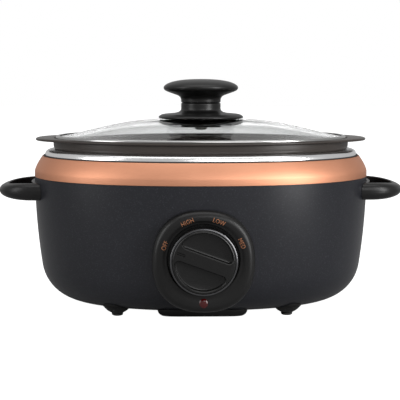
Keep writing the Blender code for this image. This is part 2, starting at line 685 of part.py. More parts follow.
def control_knob():
    """The dial, its bright ring, the shaft it turns and the clip that holds it there."""
    back = PANEL_FRONT - DIAL_RECESS_DEPTH + GAP
    front = back + DIAL_REACH
    reach = DIAL_RADIUS
    seat = front - 0.0043
    outline = [(0, front), (reach - 0.0030, front), (reach - 0.0017, front - 0.0007),
               (reach - 0.0014, front - 0.0015),
               (reach - 0.0014, seat), (reach, seat), (reach, back + 0.0010), (reach - 0.0005, back),
               (0, back)]
    at = (0, 0, DIAL_HEIGHT)
    pointing = (math.radians(90), -DIAL_OFF_ANGLE, 0)
    knob = add_turned("control_knob", outline, BLACK, at, pointing, segments=24)
    pocket = add_cutter("dial_pockets", rod("dial_pockets", reach - 0.0036, front - DIAL_POCKET_DEPTH,
                                            front + 0.005, 36),
                        at, pointing)
    bar = add_cutter("dial_bar", block("dial_bar", (0.08, DIAL_BAR, 0.03)), at, pointing)
    bar.data.transform(Matrix.Translation((0, 0, front)))
    combine(pocket, "DIFFERENCE", bar)
    hollow = add_cutter("dial_hollow", rod("dial_hollow", 0.0110, back - 0.01, back + 0.0040), at, pointing)
    bore = add_cutter("dial_bore", rod("dial_bore", SHAFT_RADIUS + 0.0012, back - 0.01, back + 0.0135, 20),
                      at, pointing)
    combine(knob, "DIFFERENCE", hollow, bore, pocket)
    ring = [(reach - 0.0011, seat + 0.0031), (reach, seat + 0.0029), (reach + 0.0004, seat + 0.0022),
            (reach + 0.0004, seat + 0.0010), (reach, seat + GAP), (reach - 0.0011, seat + GAP)]
    add_turned("dial_ring", ring, STEEL, at, pointing, hollow=True, segments=24)
    shaft_back = PANEL_BACK - SWITCH_DEPTH + 0.0045
    shaft = [(0, back + 0.0130), (SHAFT_RADIUS - 0.0004, back + 0.0130), (SHAFT_RADIUS, back + 0.0126),
             (SHAFT_RADIUS, shaft_back), (0, shaft_back)]
    add_turned("switch_shaft", shaft, STEEL, at, pointing, segments=16)
    low = back + 0.0050
    clip = [(SHAFT_RADIUS + 0.0009, low + 0.006), (SHAFT_RADIUS + 0.0009, low), (SHAFT_RADIUS + GAP, low),
            (SHAFT_RADIUS + GAP, low + 0.006)]
    add_turned("knob_clip", clip, STEEL, at, pointing, hollow=True, segments=16)


def handle_ring(side, shrink, share):
    """One ring of a handle; its height shrinks towards its nose."""
    reach = HANDLE_REACH - HANDLE_ROOT
    points = []
    for x, y, _ in oval(reach - shrink, HANDLE_HALF_SPAN - shrink, 0, HANDLE_POWER, segments=40):
        out = max(0.0, side * x - HANDLE_NOSE) / (reach - HANDLE_NOSE)
        height = HANDLE_THICK * (share - 0.5) * (1 - HANDLE_TAPER * out ** 2)
        points.append((x, y, HANDLE_MIDDLE + height))
    return points


def finger_gap(label, side):
    """The opening for the fingers, which stops short of the body and leaves the handle's plate."""
    rings = [oval(HANDLE_REACH - HANDLE_ROOT - HANDLE_BAR, HANDLE_HALF_SPAN - HANDLE_BAR,
                  HANDLE_MIDDLE + HANDLE_THICK * up, HANDLE_POWER, segments=40) for up in (-1, 1)]
    name = f"finger_gap_{label}"
    opening = add_cutter(name, loft(name, rings), (side * HANDLE_ROOT, 0, 0))
    combine(opening, "DIFFERENCE", envelope(f"plate_for_{name}", GAP + HANDLE_PLATE))
    return opening


def handles():
    """A flat loop each side: a plate against the body, two arms and the bar the fingers go round."""
    head = -BODY_WALL - HANDLE_HEAD_CLEAR
    screw = [(0, 0.012), (HANDLE_SCREW_RADIUS, 0.0105), (HANDLE_SCREW_RADIUS, head), (0.0033, head),
             (0.0033, head - 0.0012), (0.002, head - 0.0022), (0, head - 0.0024)]
    for side, x in SIDES:
        name = f"handle_{side}"
        rings = [handle_ring(x, *point) for point in HANDLE_SECTION]
        handle = add_part(name, loft(name, rings), BLACK, (x * HANDLE_ROOT, 0, 0))
        combine(handle, "DIFFERENCE", finger_gap(side, x), envelope(f"body_for_{name}", GAP))
        for end, y in ENDS:
            at = (x * side_reach(HANDLE_MIDDLE, HANDLE_SCREW_Y), y * HANDLE_SCREW_Y, HANDLE_MIDDLE)
            facing = (0, x * math.radians(90), 0)
            cutter = f"handle_pilot_{side}_{end}"
            pilot = rod(cutter, HANDLE_SCREW_RADIUS + SCREW_PLAY, -0.01, 0.0125, 12)
            combine(handle, "DIFFERENCE", add_cutter(cutter, pilot, at, facing))
            add_turned(f"handle_screw_{side}_{end}", screw, STEEL, at, facing, segments=12)


def feet():
    for side, x in SIDES:
        for end, y in ENDS:
            at = (x * FOOT_X, y * FOOT_Y, 0)
            boss = [(0, 0.034), (FOOT_BOSS, 0.034), (FOOT_BOSS, 0.0125), (FOOT_BOSS - 0.0015, 0.0080),
                    (FOOT_RADIUS, FOOT_BOTTOM), (0, FOOT_BOTTOM)]
            foot = add_turned(f"foot_{side}_{end}", boss, BLACK, at, segments=24)
            combine(foot, "DIFFERENCE", envelope(f"body_for_foot_{side}_{end}", GAP))
            peg = f"foot_peg_{side}_{end}"
            combine(foot, "UNION", add_cutter(peg, rod(peg, PEG_RADIUS, 0.004, 0.026, 16), at))
            pad = [(0, PAD_HEIGHT), (FOOT_RADIUS - 0.0010, PAD_HEIGHT), (FOOT_RADIUS - 0.0014, 0), (0, 0)]
            add_turned(f"foot_pad_{side}_{end}", pad, RUBBER, at, segments=16)


def plate_screw_spots():
    wide, deep = BODY_HALF_WIDTH - PLATE_SCREW_INSET, BODY_HALF_DEPTH - PLATE_SCREW_INSET
    return [(wide * math.cos(math.radians(turn)),
             deep * math.sin(math.radians(turn))) for turn in PLATE_SCREW_TURNS]


def base_plate():
    rings = [inset(PLATE_INSET, PLATE_BOTTOM), inset(PLATE_INSET, PLATE_TOP)]
    plate = add_part("base_plate", loft("base_plate", rings), ZINC)
    combine(plate, "DIFFERENCE", *PLATE_HOLES)
    combine(plate, "DIFFERENCE", STUD_HOLE)
    earth = add_cutter("earth_hole", rod("earth_hole", 0.0018, 0, 0.03, 12), (*EARTH_SPOT, 0))
    combine(plate, "DIFFERENCE", earth)
    for row, y in (("front", -0.028), ("back", 0.022)):
        for number, x in enumerate((-0.054, -0.036, 0.036, 0.054), 1):
            name = f"vent_{row}_{number}"
            combine(plate, "DIFFERENCE", add_cutter(name, block(name, (0.0035, 0.022, 0.02)),
                                                    (x, y, PLATE_TOP)))
    for number, (x, y) in enumerate(plate_screw_spots(), 1):
        top = BODY_BOTTOM - GAP
        screw = [(0, PLATE_TOP + 0.004), (PLATE_SCREW_RADIUS, PLATE_TOP + 0.0028), (PLATE_SCREW_RADIUS, top),
                 (0.0033, top), (0.0033, top - 0.0010), (0.0020, top - 0.0020), (0, top - 0.0022)]
        add_turned(f"base_screw_{number}", screw, STEEL, (x, y, 0), segments=12)
    top = PLATE_TOP + GAP
    screw = [(0, top + 0.0026), (0.002, top + 0.0024), (0.0034, top + 0.0014), (0.0034, top), (0.0015, top),
             (0.0015, PLATE_BOTTOM - 0.0012), (0, PLATE_BOTTOM - 0.0016)]
    add_turned("earth_screw", screw, BRASS, (*EARTH_SPOT, 0), segments=12)


def heating_parts():
    outline = []
    for height in (HEATER_LOW, (HEATER_LOW + HEATER_HIGH) / 2, HEATER_HIGH):
        outline.append((well_outside(height) - GAP, height))
    outline += [(distance - HEATER_METAL, height) for distance, height in outline[::-1]]
    add_part("heater_band", loft("heater_band", [inset(*point) for point in outline], closed=True), MICA)
    wrap = []
    for height in (WRAP_LOW, (WRAP_LOW + HEATER_HIGH) / 2, HEATER_HIGH):
        wrap.append((well_outside(height) - 2 * GAP - HEATER_METAL, height))
    wrap += [(distance - WRAP_THICK, height) for distance, height in wrap[::-1]]
    add_part("insulation_wrap", loft("insulation_wrap", [inset(*point) for point in wrap], closed=True),
             FIBRE)
    face = BODY_HALF_DEPTH - well_outside(WRAP_LOW) + HEATER_METAL + 2 * GAP
    clamp_height = (HEATER_LOW + WRAP_LOW) / 2
    add_part("heater_clamp", block("heater_clamp", (0.016, 0.004, 0.009), 0.0005), STEEL,
             (0, face + 0.002, clamp_height))
    rings = [oval(HEATPLATE_HALF_WIDTH, HEATPLATE_HALF_DEPTH, height) for height in (HEATPLATE_BOTTOM,
                                                                                     HEATPLATE_TOP)]
    add_part("heater_plate", loft("heater_plate", rings), CAST)
    fuse_top = HEATPLATE_BOTTOM - GAP
    add_part("thermal_fuse", block("thermal_fuse", (0.012, 0.007, 0.0045), 0.001), ZINC,
             (0.045, 0, fuse_top - 0.00225))
    add_part("fuse_clip", block("fuse_clip", (0.024, 0.010, 0.0010)), STEEL,
             (0.045, 0, fuse_top - 0.0045 - GAP - 0.0005))
    outside = vessel(REFLECTOR_INSET, REFLECTOR_HEIGHT + REFLECTOR_WALL, 0.004, 0.004, REFLECTOR_HEIGHT, 2)
    inside = vessel(REFLECTOR_INSET + 0.0006, REFLECTOR_HEIGHT + REFLECTOR_WALL, 0.004, 0.0034,
                    REFLECTOR_HEIGHT + 0.0006, 2)
    rings = [inset(*point) for point in inside + outside[::-1]]
    reflector = add_part("heat_reflector", loft("heat_reflector", rings), ALUMINIUM)
    combine(reflector, "DIFFERENCE", STUD_HOLE)


def centre_tie():
    """The stud that draws the well, the reflector and the base plate together."""
    top = HEATPLATE_BOTTOM - GAP
    stud = [(0, top), (0.0065, top), (0.0065, top - 0.003), (STUD_RADIUS, top - 0.003),
            (STUD_RADIUS, 0.0026), (0, 0.0026)]
    add_turned("centre_stud", stud, STEEL, segments=16)
    sleeve_top = top - 0.003 - GAP
    bore = STUD_RADIUS + SCREW_PLAY
    sleeve_low = REFLECTOR_HEIGHT + 0.0006 + GAP
    sleeve = [(0.0055, sleeve_top), (0.0055, sleeve_low), (bore, sleeve_low), (bore, sleeve_top)]
    add_turned("stud_sleeve", sleeve, ALUMINIUM, hollow=True, segments=16)
    top = PLATE_BOTTOM - GAP
    washer = [(0.009, top), (0.009, top - 0.0012), (bore, top - 0.0012), (bore, top)]
    add_turned("stud_washer", washer, STEEL, hollow=True, segments=16)
    top -= 0.0012 + GAP
    nut = add_part("stud_nut", rod("stud_nut", 0.0062, top - 0.0030, top, 6), STEEL)
    combine(nut, "DIFFERENCE", STUD_HOLE)


def wiring():
    wide, deep, tall = TERMINAL_SIZE
    low = PLATE_TOP + GAP
    add_part("terminal_block", block("terminal_block", TERMINAL_SIZE, 0.0012), PHENOLIC,
             (0, TERMINAL_Y, low + tall / 2))
    wall = body_reach(GLAND_HEIGHT, 0)
    bore = 0.0040
    gland = [(0.0052, GLAND_REACH), (GLAND_RADIUS, GLAND_REACH - 0.003),
             (GLAND_RADIUS + 0.0022, wall + 0.0044),
             (GLAND_RADIUS + 0.0030, wall + 0.0030), (GLAND_RADIUS, wall + 0.0030),
             (GLAND_RADIUS, wall - 0.006),
             (bore, wall - 0.006), (bore, GLAND_REACH)]
    add_turned("cord_gland", gland, BLACK, (0, 0, GLAND_HEIGHT), FACING_BACK, hollow=True, segments=16)
    block_front = TERMINAL_Y - deep / 2 - GAP
    block_back = TERMINAL_Y + deep / 2 + GAP
    middle = low + tall / 2
    switch_back = -(PANEL_BACK - GAP - SWITCH_DEPTH) + GAP
    gland_in = wall - 0.006
    tube("lead_supply", rounded_route([
        (0, gland_in - 0.0005, GLAND_HEIGHT), (0, gland_in - 0.010, GLAND_HEIGHT), (-0.004, 0.068, 0.022),
        (-0.006, block_back + 0.006, middle), (-0.006, block_back, middle)]), LEAD_RADIUS, WIRE)
    tube("lead_switch", rounded_route([
        (-0.010, block_front, middle), (-0.010, block_front - 0.004, middle),
                                       (-0.010, block_front - 0.008, middle), (-0.012, 0, 0.025),
        (-0.012, -0.045, 0.027), (-0.010, -0.078, 0.040), (-0.008, switch_back + 0.006, 0.050),
        (-0.008, switch_back, 0.050)]), LEAD_RADIUS, WIRE)
    plate_side = HEATPLATE_BOTTOM - GAP
    tube("lead_heater", rounded_route([
        (0.010, block_front, middle), (0.010, block_front - 0.004, middle),
                                       (0.010, block_front - 0.008, middle), (0.030, 0.015, 0.020),
        (0.092, 0.016, 0.025), (0.1215, 0.012, 0.034), (0.1220, 0.008, 0.044), (0.115, 0.006, 0.0500),
        (0.105, 0.004, 0.0508), (HEATPLATE_HALF_WIDTH + 0.0008, 0.002, 0.0520)]), LEAD_RADIUS, WIRE)
    lamp_side = LENS_HEIGHT + 0.0015 + 0.0028 + GAP
    tube("lead_lamp", rounded_route([
        (0.006, -0.1085, DIAL_HEIGHT - SWITCH_SIDE / 2 - GAP), (0.006, -0.1090, 0.038),
                                     (0.003, -0.1090, 0.032),
        (0, -0.1085, lamp_side)]), LEAD_RADIUS * 0.7, WIRE)


for old in list(bpy.data.objects):
    bpy.data.objects.remove(old, do_unlink=True)
PARTS = new_collection("slow_cooker")
CUTTERS = new_collection("cutters", hidden=True)
FRAME = bpy.data.objects.new("body_middle", None)
FRAME.location = (0, CENTRE_SHIFT, 0)
PARTS.objects.link(FRAME)

CHARCOAL = finish("charcoal_paint", (0.026, 0.027, 0.032), 0.45)
COPPER = finish("copper_satin", (0.62, 0.33, 0.20), 0.30, 1.0)
STEEL = finish("polished_steel", (0.70, 0.70, 0.70), 0.15, 1.0)
NONSTICK = finish("nonstick_coating", (0.055, 0.048, 0.044), 0.40)
BLACK = finish("black_plastic", (0.014, 0.014, 0.016), 0.40)
GLASS = finish("clear_glass", (0.95, 0.97, 0.97), 0.02, 0.0, 1.0)
RED_LENS = finish("red_lens", (0.25, 0.006, 0.008), 0.15)
PHENOLIC = finish("phenolic", (0.10, 0.06, 0.04), 0.55)
RUBBER = finish("foot_rubber", (0.02, 0.02, 0.02), 0.80)
ZINC = finish("zinc_plate", (0.50, 0.51, 0.52), 0.40, 1.0)
ALUMINIUM = finish("aluminium_sheet", (0.78, 0.78, 0.78), 0.30, 1.0)
CAST = finish("cast_aluminium", (0.55, 0.55, 0.55), 0.50, 1.0)
MICA = finish("mica_heater", (0.45, 0.38, 0.25), 0.60)
FIBRE = finish("glass_fibre", (0.80, 0.78, 0.70), 0.90)
BRASS = finish("brass", (0.72, 0.52, 0.22), 0.30, 1.0)
WIRE = finish("wire_insulation", (0.60, 0.60, 0.58), 0.60)

PLATE_HOLES = []
STUD_HOLE = add_cutter("stud_hole", rod("stud_hole", STUD_RADIUS + SCREW_PLAY, 0, 0.045, 20))

outer_shell()
rim_band()
heating_well()
cooking_pot()
lid_glass()
lid_rim()
lid_knob()
control_bezel()
panel_screws()
front_foot()
indicator()
rotary_switch()
control_knob()
handles()
feet()
base_plate()
heating_parts()
centre_tie()
wiring()
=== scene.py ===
"""The finished look of an oval sear-and-stew slow cooker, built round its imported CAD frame.

Metres, +Z up, the dial faces -Y and the floor is z = 0. The sections follow the cooker as it is put
together: body, band, well, base, feet, handles, panel, dial, lamp, pot and lid, then the studio.
"""

import math

import bmesh
import bpy
from mathutils import Matrix, Vector
from mathutils.bvhtree import BVHTree


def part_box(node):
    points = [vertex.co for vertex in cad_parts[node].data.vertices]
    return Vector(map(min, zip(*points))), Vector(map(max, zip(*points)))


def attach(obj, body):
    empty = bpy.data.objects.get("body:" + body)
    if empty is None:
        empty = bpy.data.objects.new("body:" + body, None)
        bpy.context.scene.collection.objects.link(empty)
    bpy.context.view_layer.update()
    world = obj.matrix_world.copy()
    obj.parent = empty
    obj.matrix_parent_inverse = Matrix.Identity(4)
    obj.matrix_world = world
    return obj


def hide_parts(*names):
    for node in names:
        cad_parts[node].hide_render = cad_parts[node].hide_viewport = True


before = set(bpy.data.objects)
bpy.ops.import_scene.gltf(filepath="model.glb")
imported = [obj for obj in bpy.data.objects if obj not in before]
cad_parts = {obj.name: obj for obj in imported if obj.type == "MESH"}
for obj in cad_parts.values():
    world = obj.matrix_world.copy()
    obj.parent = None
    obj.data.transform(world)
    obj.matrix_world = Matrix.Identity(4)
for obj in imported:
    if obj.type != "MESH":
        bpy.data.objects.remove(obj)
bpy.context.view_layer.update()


# ---------------------------------------------------------------- Outer shell
# The drum that everything hangs on: deep-drawn sheet steel with a faintly barrelled wall, a soft
# bottom corner and a turned-in flange. It is powder coated in satin charcoal with a fine metal flake.

shell_low, shell_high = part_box("outer_shell")
MIDDLE_Y = (shell_low.y + shell_high.y) / 2
HALF_WIDTH = shell_high.x
HALF_DEPTH = (shell_high.y - shell_low.y) / 2
SHELL_BOTTOM = shell_low.z
SHELL_TOP = shell_high.z
OVAL_POWER = 2.15
OVAL_POINTS = 192
BARREL_RADIUS = 0.580
CORNER_RADIUS = 0.039
SHELL_WALL = 0.0016
FLANGE_INSET = 0.058
SHARP_ANGLE = math.radians(38)
CHARCOAL_DARK = (0.0106, 0.0110, 0.0140)
CHARCOAL_LIGHT = (0.0138, 0.0143, 0.0180)
FLAKE = (0.0250, 0.0258, 0.0310)


def oval_points(half_u, half_v, power=OVAL_POWER, count=OVAL_POINTS):
    """A superellipse, which is how the body's plan is drawn."""
    points = []
    for step in range(count):
        turn = 2 * math.pi * step / count
        cosine, sine = math.cos(turn), math.sin(turn)
        points.append((half_u * math.copysign(abs(cosine) ** (2 / power), cosine),
                       half_v * math.copysign(abs(sine) ** (2 / power), sine)))
    return points


def level_ring(half_x, half_y, height, power=OVAL_POWER):
    return [(u, MIDDLE_Y + v, height) for u, v in oval_points(half_x, half_y, power)]


def body_ring(inset, height):
    """The body's plan moved inwards all round by the inset."""
    return level_ring(HALF_WIDTH - inset, HALF_DEPTH - inset, height)


def arc(centre, radius, start, end, steps):
    """Points on a circular arc between two angles in degrees."""
    turns = [math.radians(start + (end - start) * step / steps) for step in range(steps + 1)]
    return [(centre[0] + radius * math.cos(turn), centre[1] + radius * math.sin(turn)) for turn in turns]


def eased(outline, steps=4):
    """A smooth curve through an outline's points."""
    ends = [outline[0], *outline, outline[-1]]
    points = []
    for before, start, end, after in zip(ends, ends[1:], ends[2:], ends[3:]):
        for step in range(steps):
            share = step / steps
            points.append(tuple(
                0.5 * (2 * b + (c - a) * share + (2 * a - 5 * b + 4 * c - d) * share ** 2
                       + (3 * b - a - 3 * c + d) * share ** 3)
                for a, b, c, d in zip(before, start, end, after)))
    points.append(outline[-1])
    return points


def sheet_from(built, name, sharp=SHARP_ANGLE):
    mesh = bpy.data.meshes.new(name)
    bmesh.ops.recalc_face_normals(built, faces=built.faces)
    built.to_mesh(mesh)
    built.free()
    mesh.shade_smooth()
    mesh.set_sharp_from_angle(angle=sharp)
    return mesh


def piece(name, mesh):
    obj = bpy.data.objects.new(name, mesh)
    bpy.context.scene.collection.objects.link(obj)
    return obj


def skin(name, rings, closed=False, sharp=SHARP_ANGLE):
    """A piece skinned over rings of equal count, capped at its ends or joined round into a band."""
    built = bmesh.new()
    loops = [[built.verts.new(point) for point in ring] for ring in rings]
    pairs = list(zip(loops, loops[1:]))
    if closed:
        pairs.append((loops[-1], loops[0]))
    else:
        built.faces.new(loops[0])
        built.faces.new(loops[-1])
    for low, high in pairs:
        for step in range(len(low)):
            built.faces.new((low[step], low[step - 1], high[step - 1], high[step]))
    return piece(name, sheet_from(built, name, sharp))


def wall_profile(offset=0.0, wall_steps=10, corner_steps=14):
    """(inset, height) down the body's side, moved inwards by the offset."""
    lean = math.asin((SHELL_TOP - SHELL_BOTTOM - CORNER_RADIUS) / (BARREL_RADIUS - CORNER_RADIUS))
    corner_inset = BARREL_RADIUS - (BARREL_RADIUS - CORNER_RADIUS) * math.cos(lean)
    points = []
    for step in range(wall_steps):
        turn = lean * step / wall_steps
        points.append((BARREL_RADIUS - (BARREL_RADIUS - offset) * math.cos(turn),
                       SHELL_TOP - (BARREL_RADIUS - offset) * math.sin(turn)))
    for step in range(corner_steps + 1):
        turn = lean + (math.pi / 2 - lean) * step / corner_steps
        points.append((corner_inset - (CORNER_RADIUS - offset) * math.cos(turn),
                       SHELL_BOTTOM + CORNER_RADIUS - (CORNER_RADIUS - offset) * math.sin(turn)))
    return points


def wall_inset(height):
    """How far in from its top edge the shell's outside is at a height."""
    lean = math.asin((SHELL_TOP - SHELL_BOTTOM - CORNER_RADIUS) / (BARREL_RADIUS - CORNER_RADIUS))
    corner_inset = BARREL_RADIUS - (BARREL_RADIUS - CORNER_RADIUS) * math.cos(lean)
    drop = SHELL_TOP - height
    if drop <= BARREL_RADIUS * math.sin(lean):
        return BARREL_RADIUS - math.sqrt(BARREL_RADIUS ** 2 - max(drop, 0.0) ** 2)
    down = min(SHELL_BOTTOM + CORNER_RADIUS - height, CORNER_RADIUS)
    return corner_inset - math.sqrt(CORNER_RADIUS ** 2 - down ** 2)


def texture_group(name, *inputs):
    """An empty shader group that takes a position and the named numbers, and gives Value."""
    tree = bpy.data.node_groups.new(name, "ShaderNodeTree")
    tree.interface.new_socket(name="Position", in_out="INPUT", socket_type="NodeSocketVector")
    for label, value in inputs:
        socket = tree.interface.new_socket(name=label, in_out="INPUT", socket_type="NodeSocketFloat")
        socket.default_value = value
    tree.interface.new_socket(name="Value", in_out="OUTPUT", socket_type="NodeSocketFloat")
    return tree, tree.nodes.new("NodeGroupInput"), tree.nodes.new("NodeGroupOutput")


def mottle_group():
    """Slow, cloudy change over a surface: uneven polish, handling marks and a little dust."""
    tree, given, result = texture_group("mottle", ("Scale", 20.0), ("Contrast", 1.0))
    clouds = tree.nodes.new("ShaderNodeTexNoise")
    clouds.inputs["Detail"].default_value = 5.0
    clouds.inputs["Roughness"].default_value = 0.62
    spread = tree.nodes.new("ShaderNodeMath")
    spread.operation = "MULTIPLY_ADD"
    centre = tree.nodes.new("ShaderNodeMath")
    centre.operation = "SUBTRACT"
    centre.inputs[1].default_value = 0.5
    spread.inputs[2].default_value = 0.5
    spread.use_clamp = True
    tree.links.new(given.outputs["Position"], clouds.inputs["Vector"])
    tree.links.new(given.outputs["Scale"], clouds.inputs["Scale"])
    tree.links.new(clouds.outputs["Fac"], centre.inputs[0])
    tree.links.new(centre.outputs[0], spread.inputs[0])
    tree.links.new(given.outputs["Contrast"], spread.inputs[1])
    tree.links.new(spread.outputs[0], result.inputs["Value"])
    return tree


def grain_group():
    """The fine pebble of spark-eroded plastic, powder coat or rubber."""
    tree, given, result = texture_group("grain", ("Scale", 1500.0))
    noise = tree.nodes.new("ShaderNodeTexNoise")
    noise.inputs["Detail"].default_value = 3.0
    cells = tree.nodes.new("ShaderNodeTexVoronoi")
    cells.feature = "SMOOTH_F1"
    both = tree.nodes.new("ShaderNodeMath")
    both.operation = "ADD"
    for texture in (noise, cells):
        tree.links.new(given.outputs["Position"], texture.inputs["Vector"])
        tree.links.new(given.outputs["Scale"], texture.inputs["Scale"])
    tree.links.new(noise.outputs["Fac"], both.inputs[0])
    tree.links.new(cells.outputs["Distance"], both.inputs[1])
    tree.links.new(both.outputs[0], result.inputs["Value"])
    return tree


def fleck_group():
    """Scattered flecks, 1 inside a fleck and 0 outside: metal flake, or the speckle of a coating."""
    tree, given, result = texture_group("flecks", ("Scale", 900.0), ("Share", 0.12))
    cells = tree.nodes.new("ShaderNodeTexVoronoi")
    pick = tree.nodes.new("ShaderNodeSeparateColor")
    fewer = tree.nodes.new("ShaderNodeMath")
    fewer.operation = "LESS_THAN"
    tree.links.new(given.outputs["Position"], cells.inputs["Vector"])
    tree.links.new(given.outputs["Scale"], cells.inputs["Scale"])
    tree.links.new(cells.outputs["Color"], pick.inputs["Color"])
    tree.links.new(pick.outputs["Red"], fewer.inputs[0])
    tree.links.new(given.outputs["Share"], fewer.inputs[1])
    tree.links.new(fewer.outputs[0], result.inputs["Value"])
    return tree


def brush_group():
    """Fine level lines round a piece, as left by rolling, spinning or polishing."""
    tree, given, result = texture_group("brush_lines", ("Scale", 30.0), ("Stretch", 60.0))
    squeeze = tree.nodes.new("ShaderNodeCombineXYZ")
    squeeze.inputs["X"].default_value = squeeze.inputs["Y"].default_value = 1.0
    stretched = tree.nodes.new("ShaderNodeVectorMath")
    stretched.operation = "MULTIPLY"
    lines = tree.nodes.new("ShaderNodeTexNoise")
    lines.inputs["Detail"].default_value = 6.0
    lines.inputs["Roughness"].default_value = 0.7
    tree.links.new(given.outputs["Stretch"], squeeze.inputs["Z"])
    tree.links.new(given.outputs["Position"], stretched.inputs[0])
    tree.links.new(squeeze.outputs["Vector"], stretched.inputs[1])
    tree.links.new(stretched.outputs["Vector"], lines.inputs["Vector"])
    tree.links.new(given.outputs["Scale"], lines.inputs["Scale"])
    tree.links.new(lines.outputs["Fac"], result.inputs["Value"])
    return tree


MOTTLE, GRAIN, FLECKS, BRUSH = mottle_group(), grain_group(), fleck_group(), brush_group()


def effect(material, tree, **values):
    """Places a shared texture group in a material, on object coordinates."""
    nodes, links = material.node_tree.nodes, material.node_tree.links
    node = nodes.new("ShaderNodeGroup")
    node.node_tree = tree
    for label, value in values.items():
        node.inputs[label].default_value = value
    links.new(nodes["Position"].outputs["Object"], node.inputs["Position"])
    return node.outputs["Value"]


def finish(name, dark, light, roughness, metallic=0.0, mottle=18.0, contrast=1.6,
           grain=None, brush=None, flecks=None, coat=0.0, coat_roughness=0.1, ior=1.5):
    """A surface whose colour and gloss drift between two values. grain is (scale, depth), brush is
    (scale, stretch, depth) and flecks are (scale, share, colour)."""
    material = bpy.data.materials.new(name)
    material.use_nodes = True
    nodes, links = material.node_tree.nodes, material.node_tree.links
    shader = nodes["Principled BSDF"]
    shader.inputs["Metallic"].default_value = metallic
    shader.inputs["IOR"].default_value = ior
    shader.inputs["Coat Weight"].default_value = coat
    shader.inputs["Coat Roughness"].default_value = coat_roughness
    position = nodes.new("ShaderNodeTexCoord")
    position.name = "Position"
    clouds = effect(material, MOTTLE, Scale=mottle, Contrast=contrast)
    colour = nodes.new("ShaderNodeMix")
    colour.data_type = "RGBA"
    colour.inputs["A"].default_value = (*dark, 1.0)
    colour.inputs["B"].default_value = (*light, 1.0)
    links.new(clouds, colour.inputs["Factor"])
    last_colour = colour.outputs["Result"]
    if flecks:
        speckle = nodes.new("ShaderNodeMix")
        speckle.data_type = "RGBA"
        speckle.inputs["B"].default_value = (*flecks[2], 1.0)
        links.new(effect(material, FLECKS, Scale=flecks[0], Share=flecks[1]), speckle.inputs["Factor"])
        links.new(last_colour, speckle.inputs["A"])
        last_colour = speckle.outputs["Result"]
    links.new(last_colour, shader.inputs["Base Color"])
    gloss = nodes.new("ShaderNodeMapRange")
    gloss.inputs["To Min"].default_value, gloss.inputs["To Max"].default_value = roughness
    links.new(clouds, gloss.inputs["Value"])
    links.new(gloss.outputs["Result"], shader.inputs["Roughness"])
    relief = []
    if grain:
        relief.append((effect(material, GRAIN, Scale=grain[0]), grain[1]))
    if brush:
        relief.append((effect(material, BRUSH, Scale=brush[0], Stretch=brush[1]), brush[2]))
    below = None
    for height, depth in relief:
        bump = nodes.new("ShaderNodeBump")
        bump.inputs["Distance"].default_value = depth
        links.new(height, bump.inputs["Height"])
        if below:
            links.new(below, bump.inputs["Normal"])
        below = bump.outputs["Normal"]
    if below:
        links.new(below, shader.inputs["Normal"])
    return material


def fit(obj, material, body, slot, *nodes):
    """Gives a piece its finish and hands it to the frame in place of its CAD nodes."""
    obj.data.materials.clear()
    obj.data.materials.append(material)
    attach(obj, body)
    if nodes:
        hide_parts(*nodes)


charcoal = finish("charcoal_powder_coat", CHARCOAL_DARK, CHARCOAL_LIGHT, (0.29, 0.36),
                  mottle=9.0, grain=(1300.0, 0.000016), flecks=(1900.0, 0.08, FLAKE), ior=1.36)
outside, inside = wall_profile(), wall_profile(SHELL_WALL)
flange = [(FLANGE_INSET, SHELL_BOTTOM), (FLANGE_INSET, SHELL_BOTTOM + SHELL_WALL)]
shell = skin("body_shell", [body_ring(*point) for point in outside + flange + inside[::-1]], closed=True)
fit(shell, charcoal, "base", "charcoal_paint", "outer_shell")


# ---------------------------------------------------------------- Copper band
# The rolled band that caps the body: copper-plated steel, upright below, then leaning in more and
# more up to a crisp edge and a flat shelf. Rolling and polishing leave level lines under its lacquer.

band_low, band_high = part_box("rim_band")
BAND_LIP = 0.0085
BAND_UPRIGHT = 0.0048
BAND_SHOULDER = 0.0071
BAND_LEAN = 1.4
BAND_STEPS = 12
BAND_EDGE = 0.0003
BAND_SHELF = 0.0080
BAND_METAL = 0.0012
BAND_LIP_OUT = 0.0020
COPPER_DARK = (0.57, 0.256, 0.150)
COPPER_LIGHT = (0.64, 0.310, 0.190)
shoulder_rise = band_high.z - band_low.z - BAND_LIP - BAND_UPRIGHT
shoulder_low = band_high.z - shoulder_rise
lip_in = BAND_LIP_OUT + BAND_METAL

band_outside = [(0.0, band_low.z + BAND_LIP)]
band_inside = []
for step in range(BAND_STEPS + 1):
    share = step / BAND_STEPS
    lean = BAND_SHOULDER * share ** BAND_LEAN
    band_outside.append((lean, shoulder_low + (shoulder_rise - BAND_EDGE) * share))
    band_inside.append((max(lip_in, lean + BAND_METAL), shoulder_low + (shoulder_rise - BAND_METAL) * share))
band_edge = BAND_SHOULDER + BAND_SHELF
band_outside += [(BAND_SHOULDER + BAND_EDGE, band_high.z), (band_edge - 0.0006, band_high.z),
                 (band_edge, band_high.z - 0.0006),
                 (band_edge, band_high.z - BAND_METAL)]
band_lip = [(lip_in, band_low.z), (BAND_LIP_OUT, band_low.z), (BAND_LIP_OUT, band_low.z + BAND_LIP)]
band_rings = [body_ring(*point) for point in band_outside + band_inside[::-1] + band_lip]
copper = finish("lacquered_copper", COPPER_DARK, COPPER_LIGHT, (0.46, 0.54), metallic=1.0, mottle=14.0,
                brush=(26.0, 90.0, 0.00005), coat=0.06, coat_roughness=0.30)
fit(skin("copper_band", band_rings, closed=True), copper, "base", "copper_satin", "rim_band")
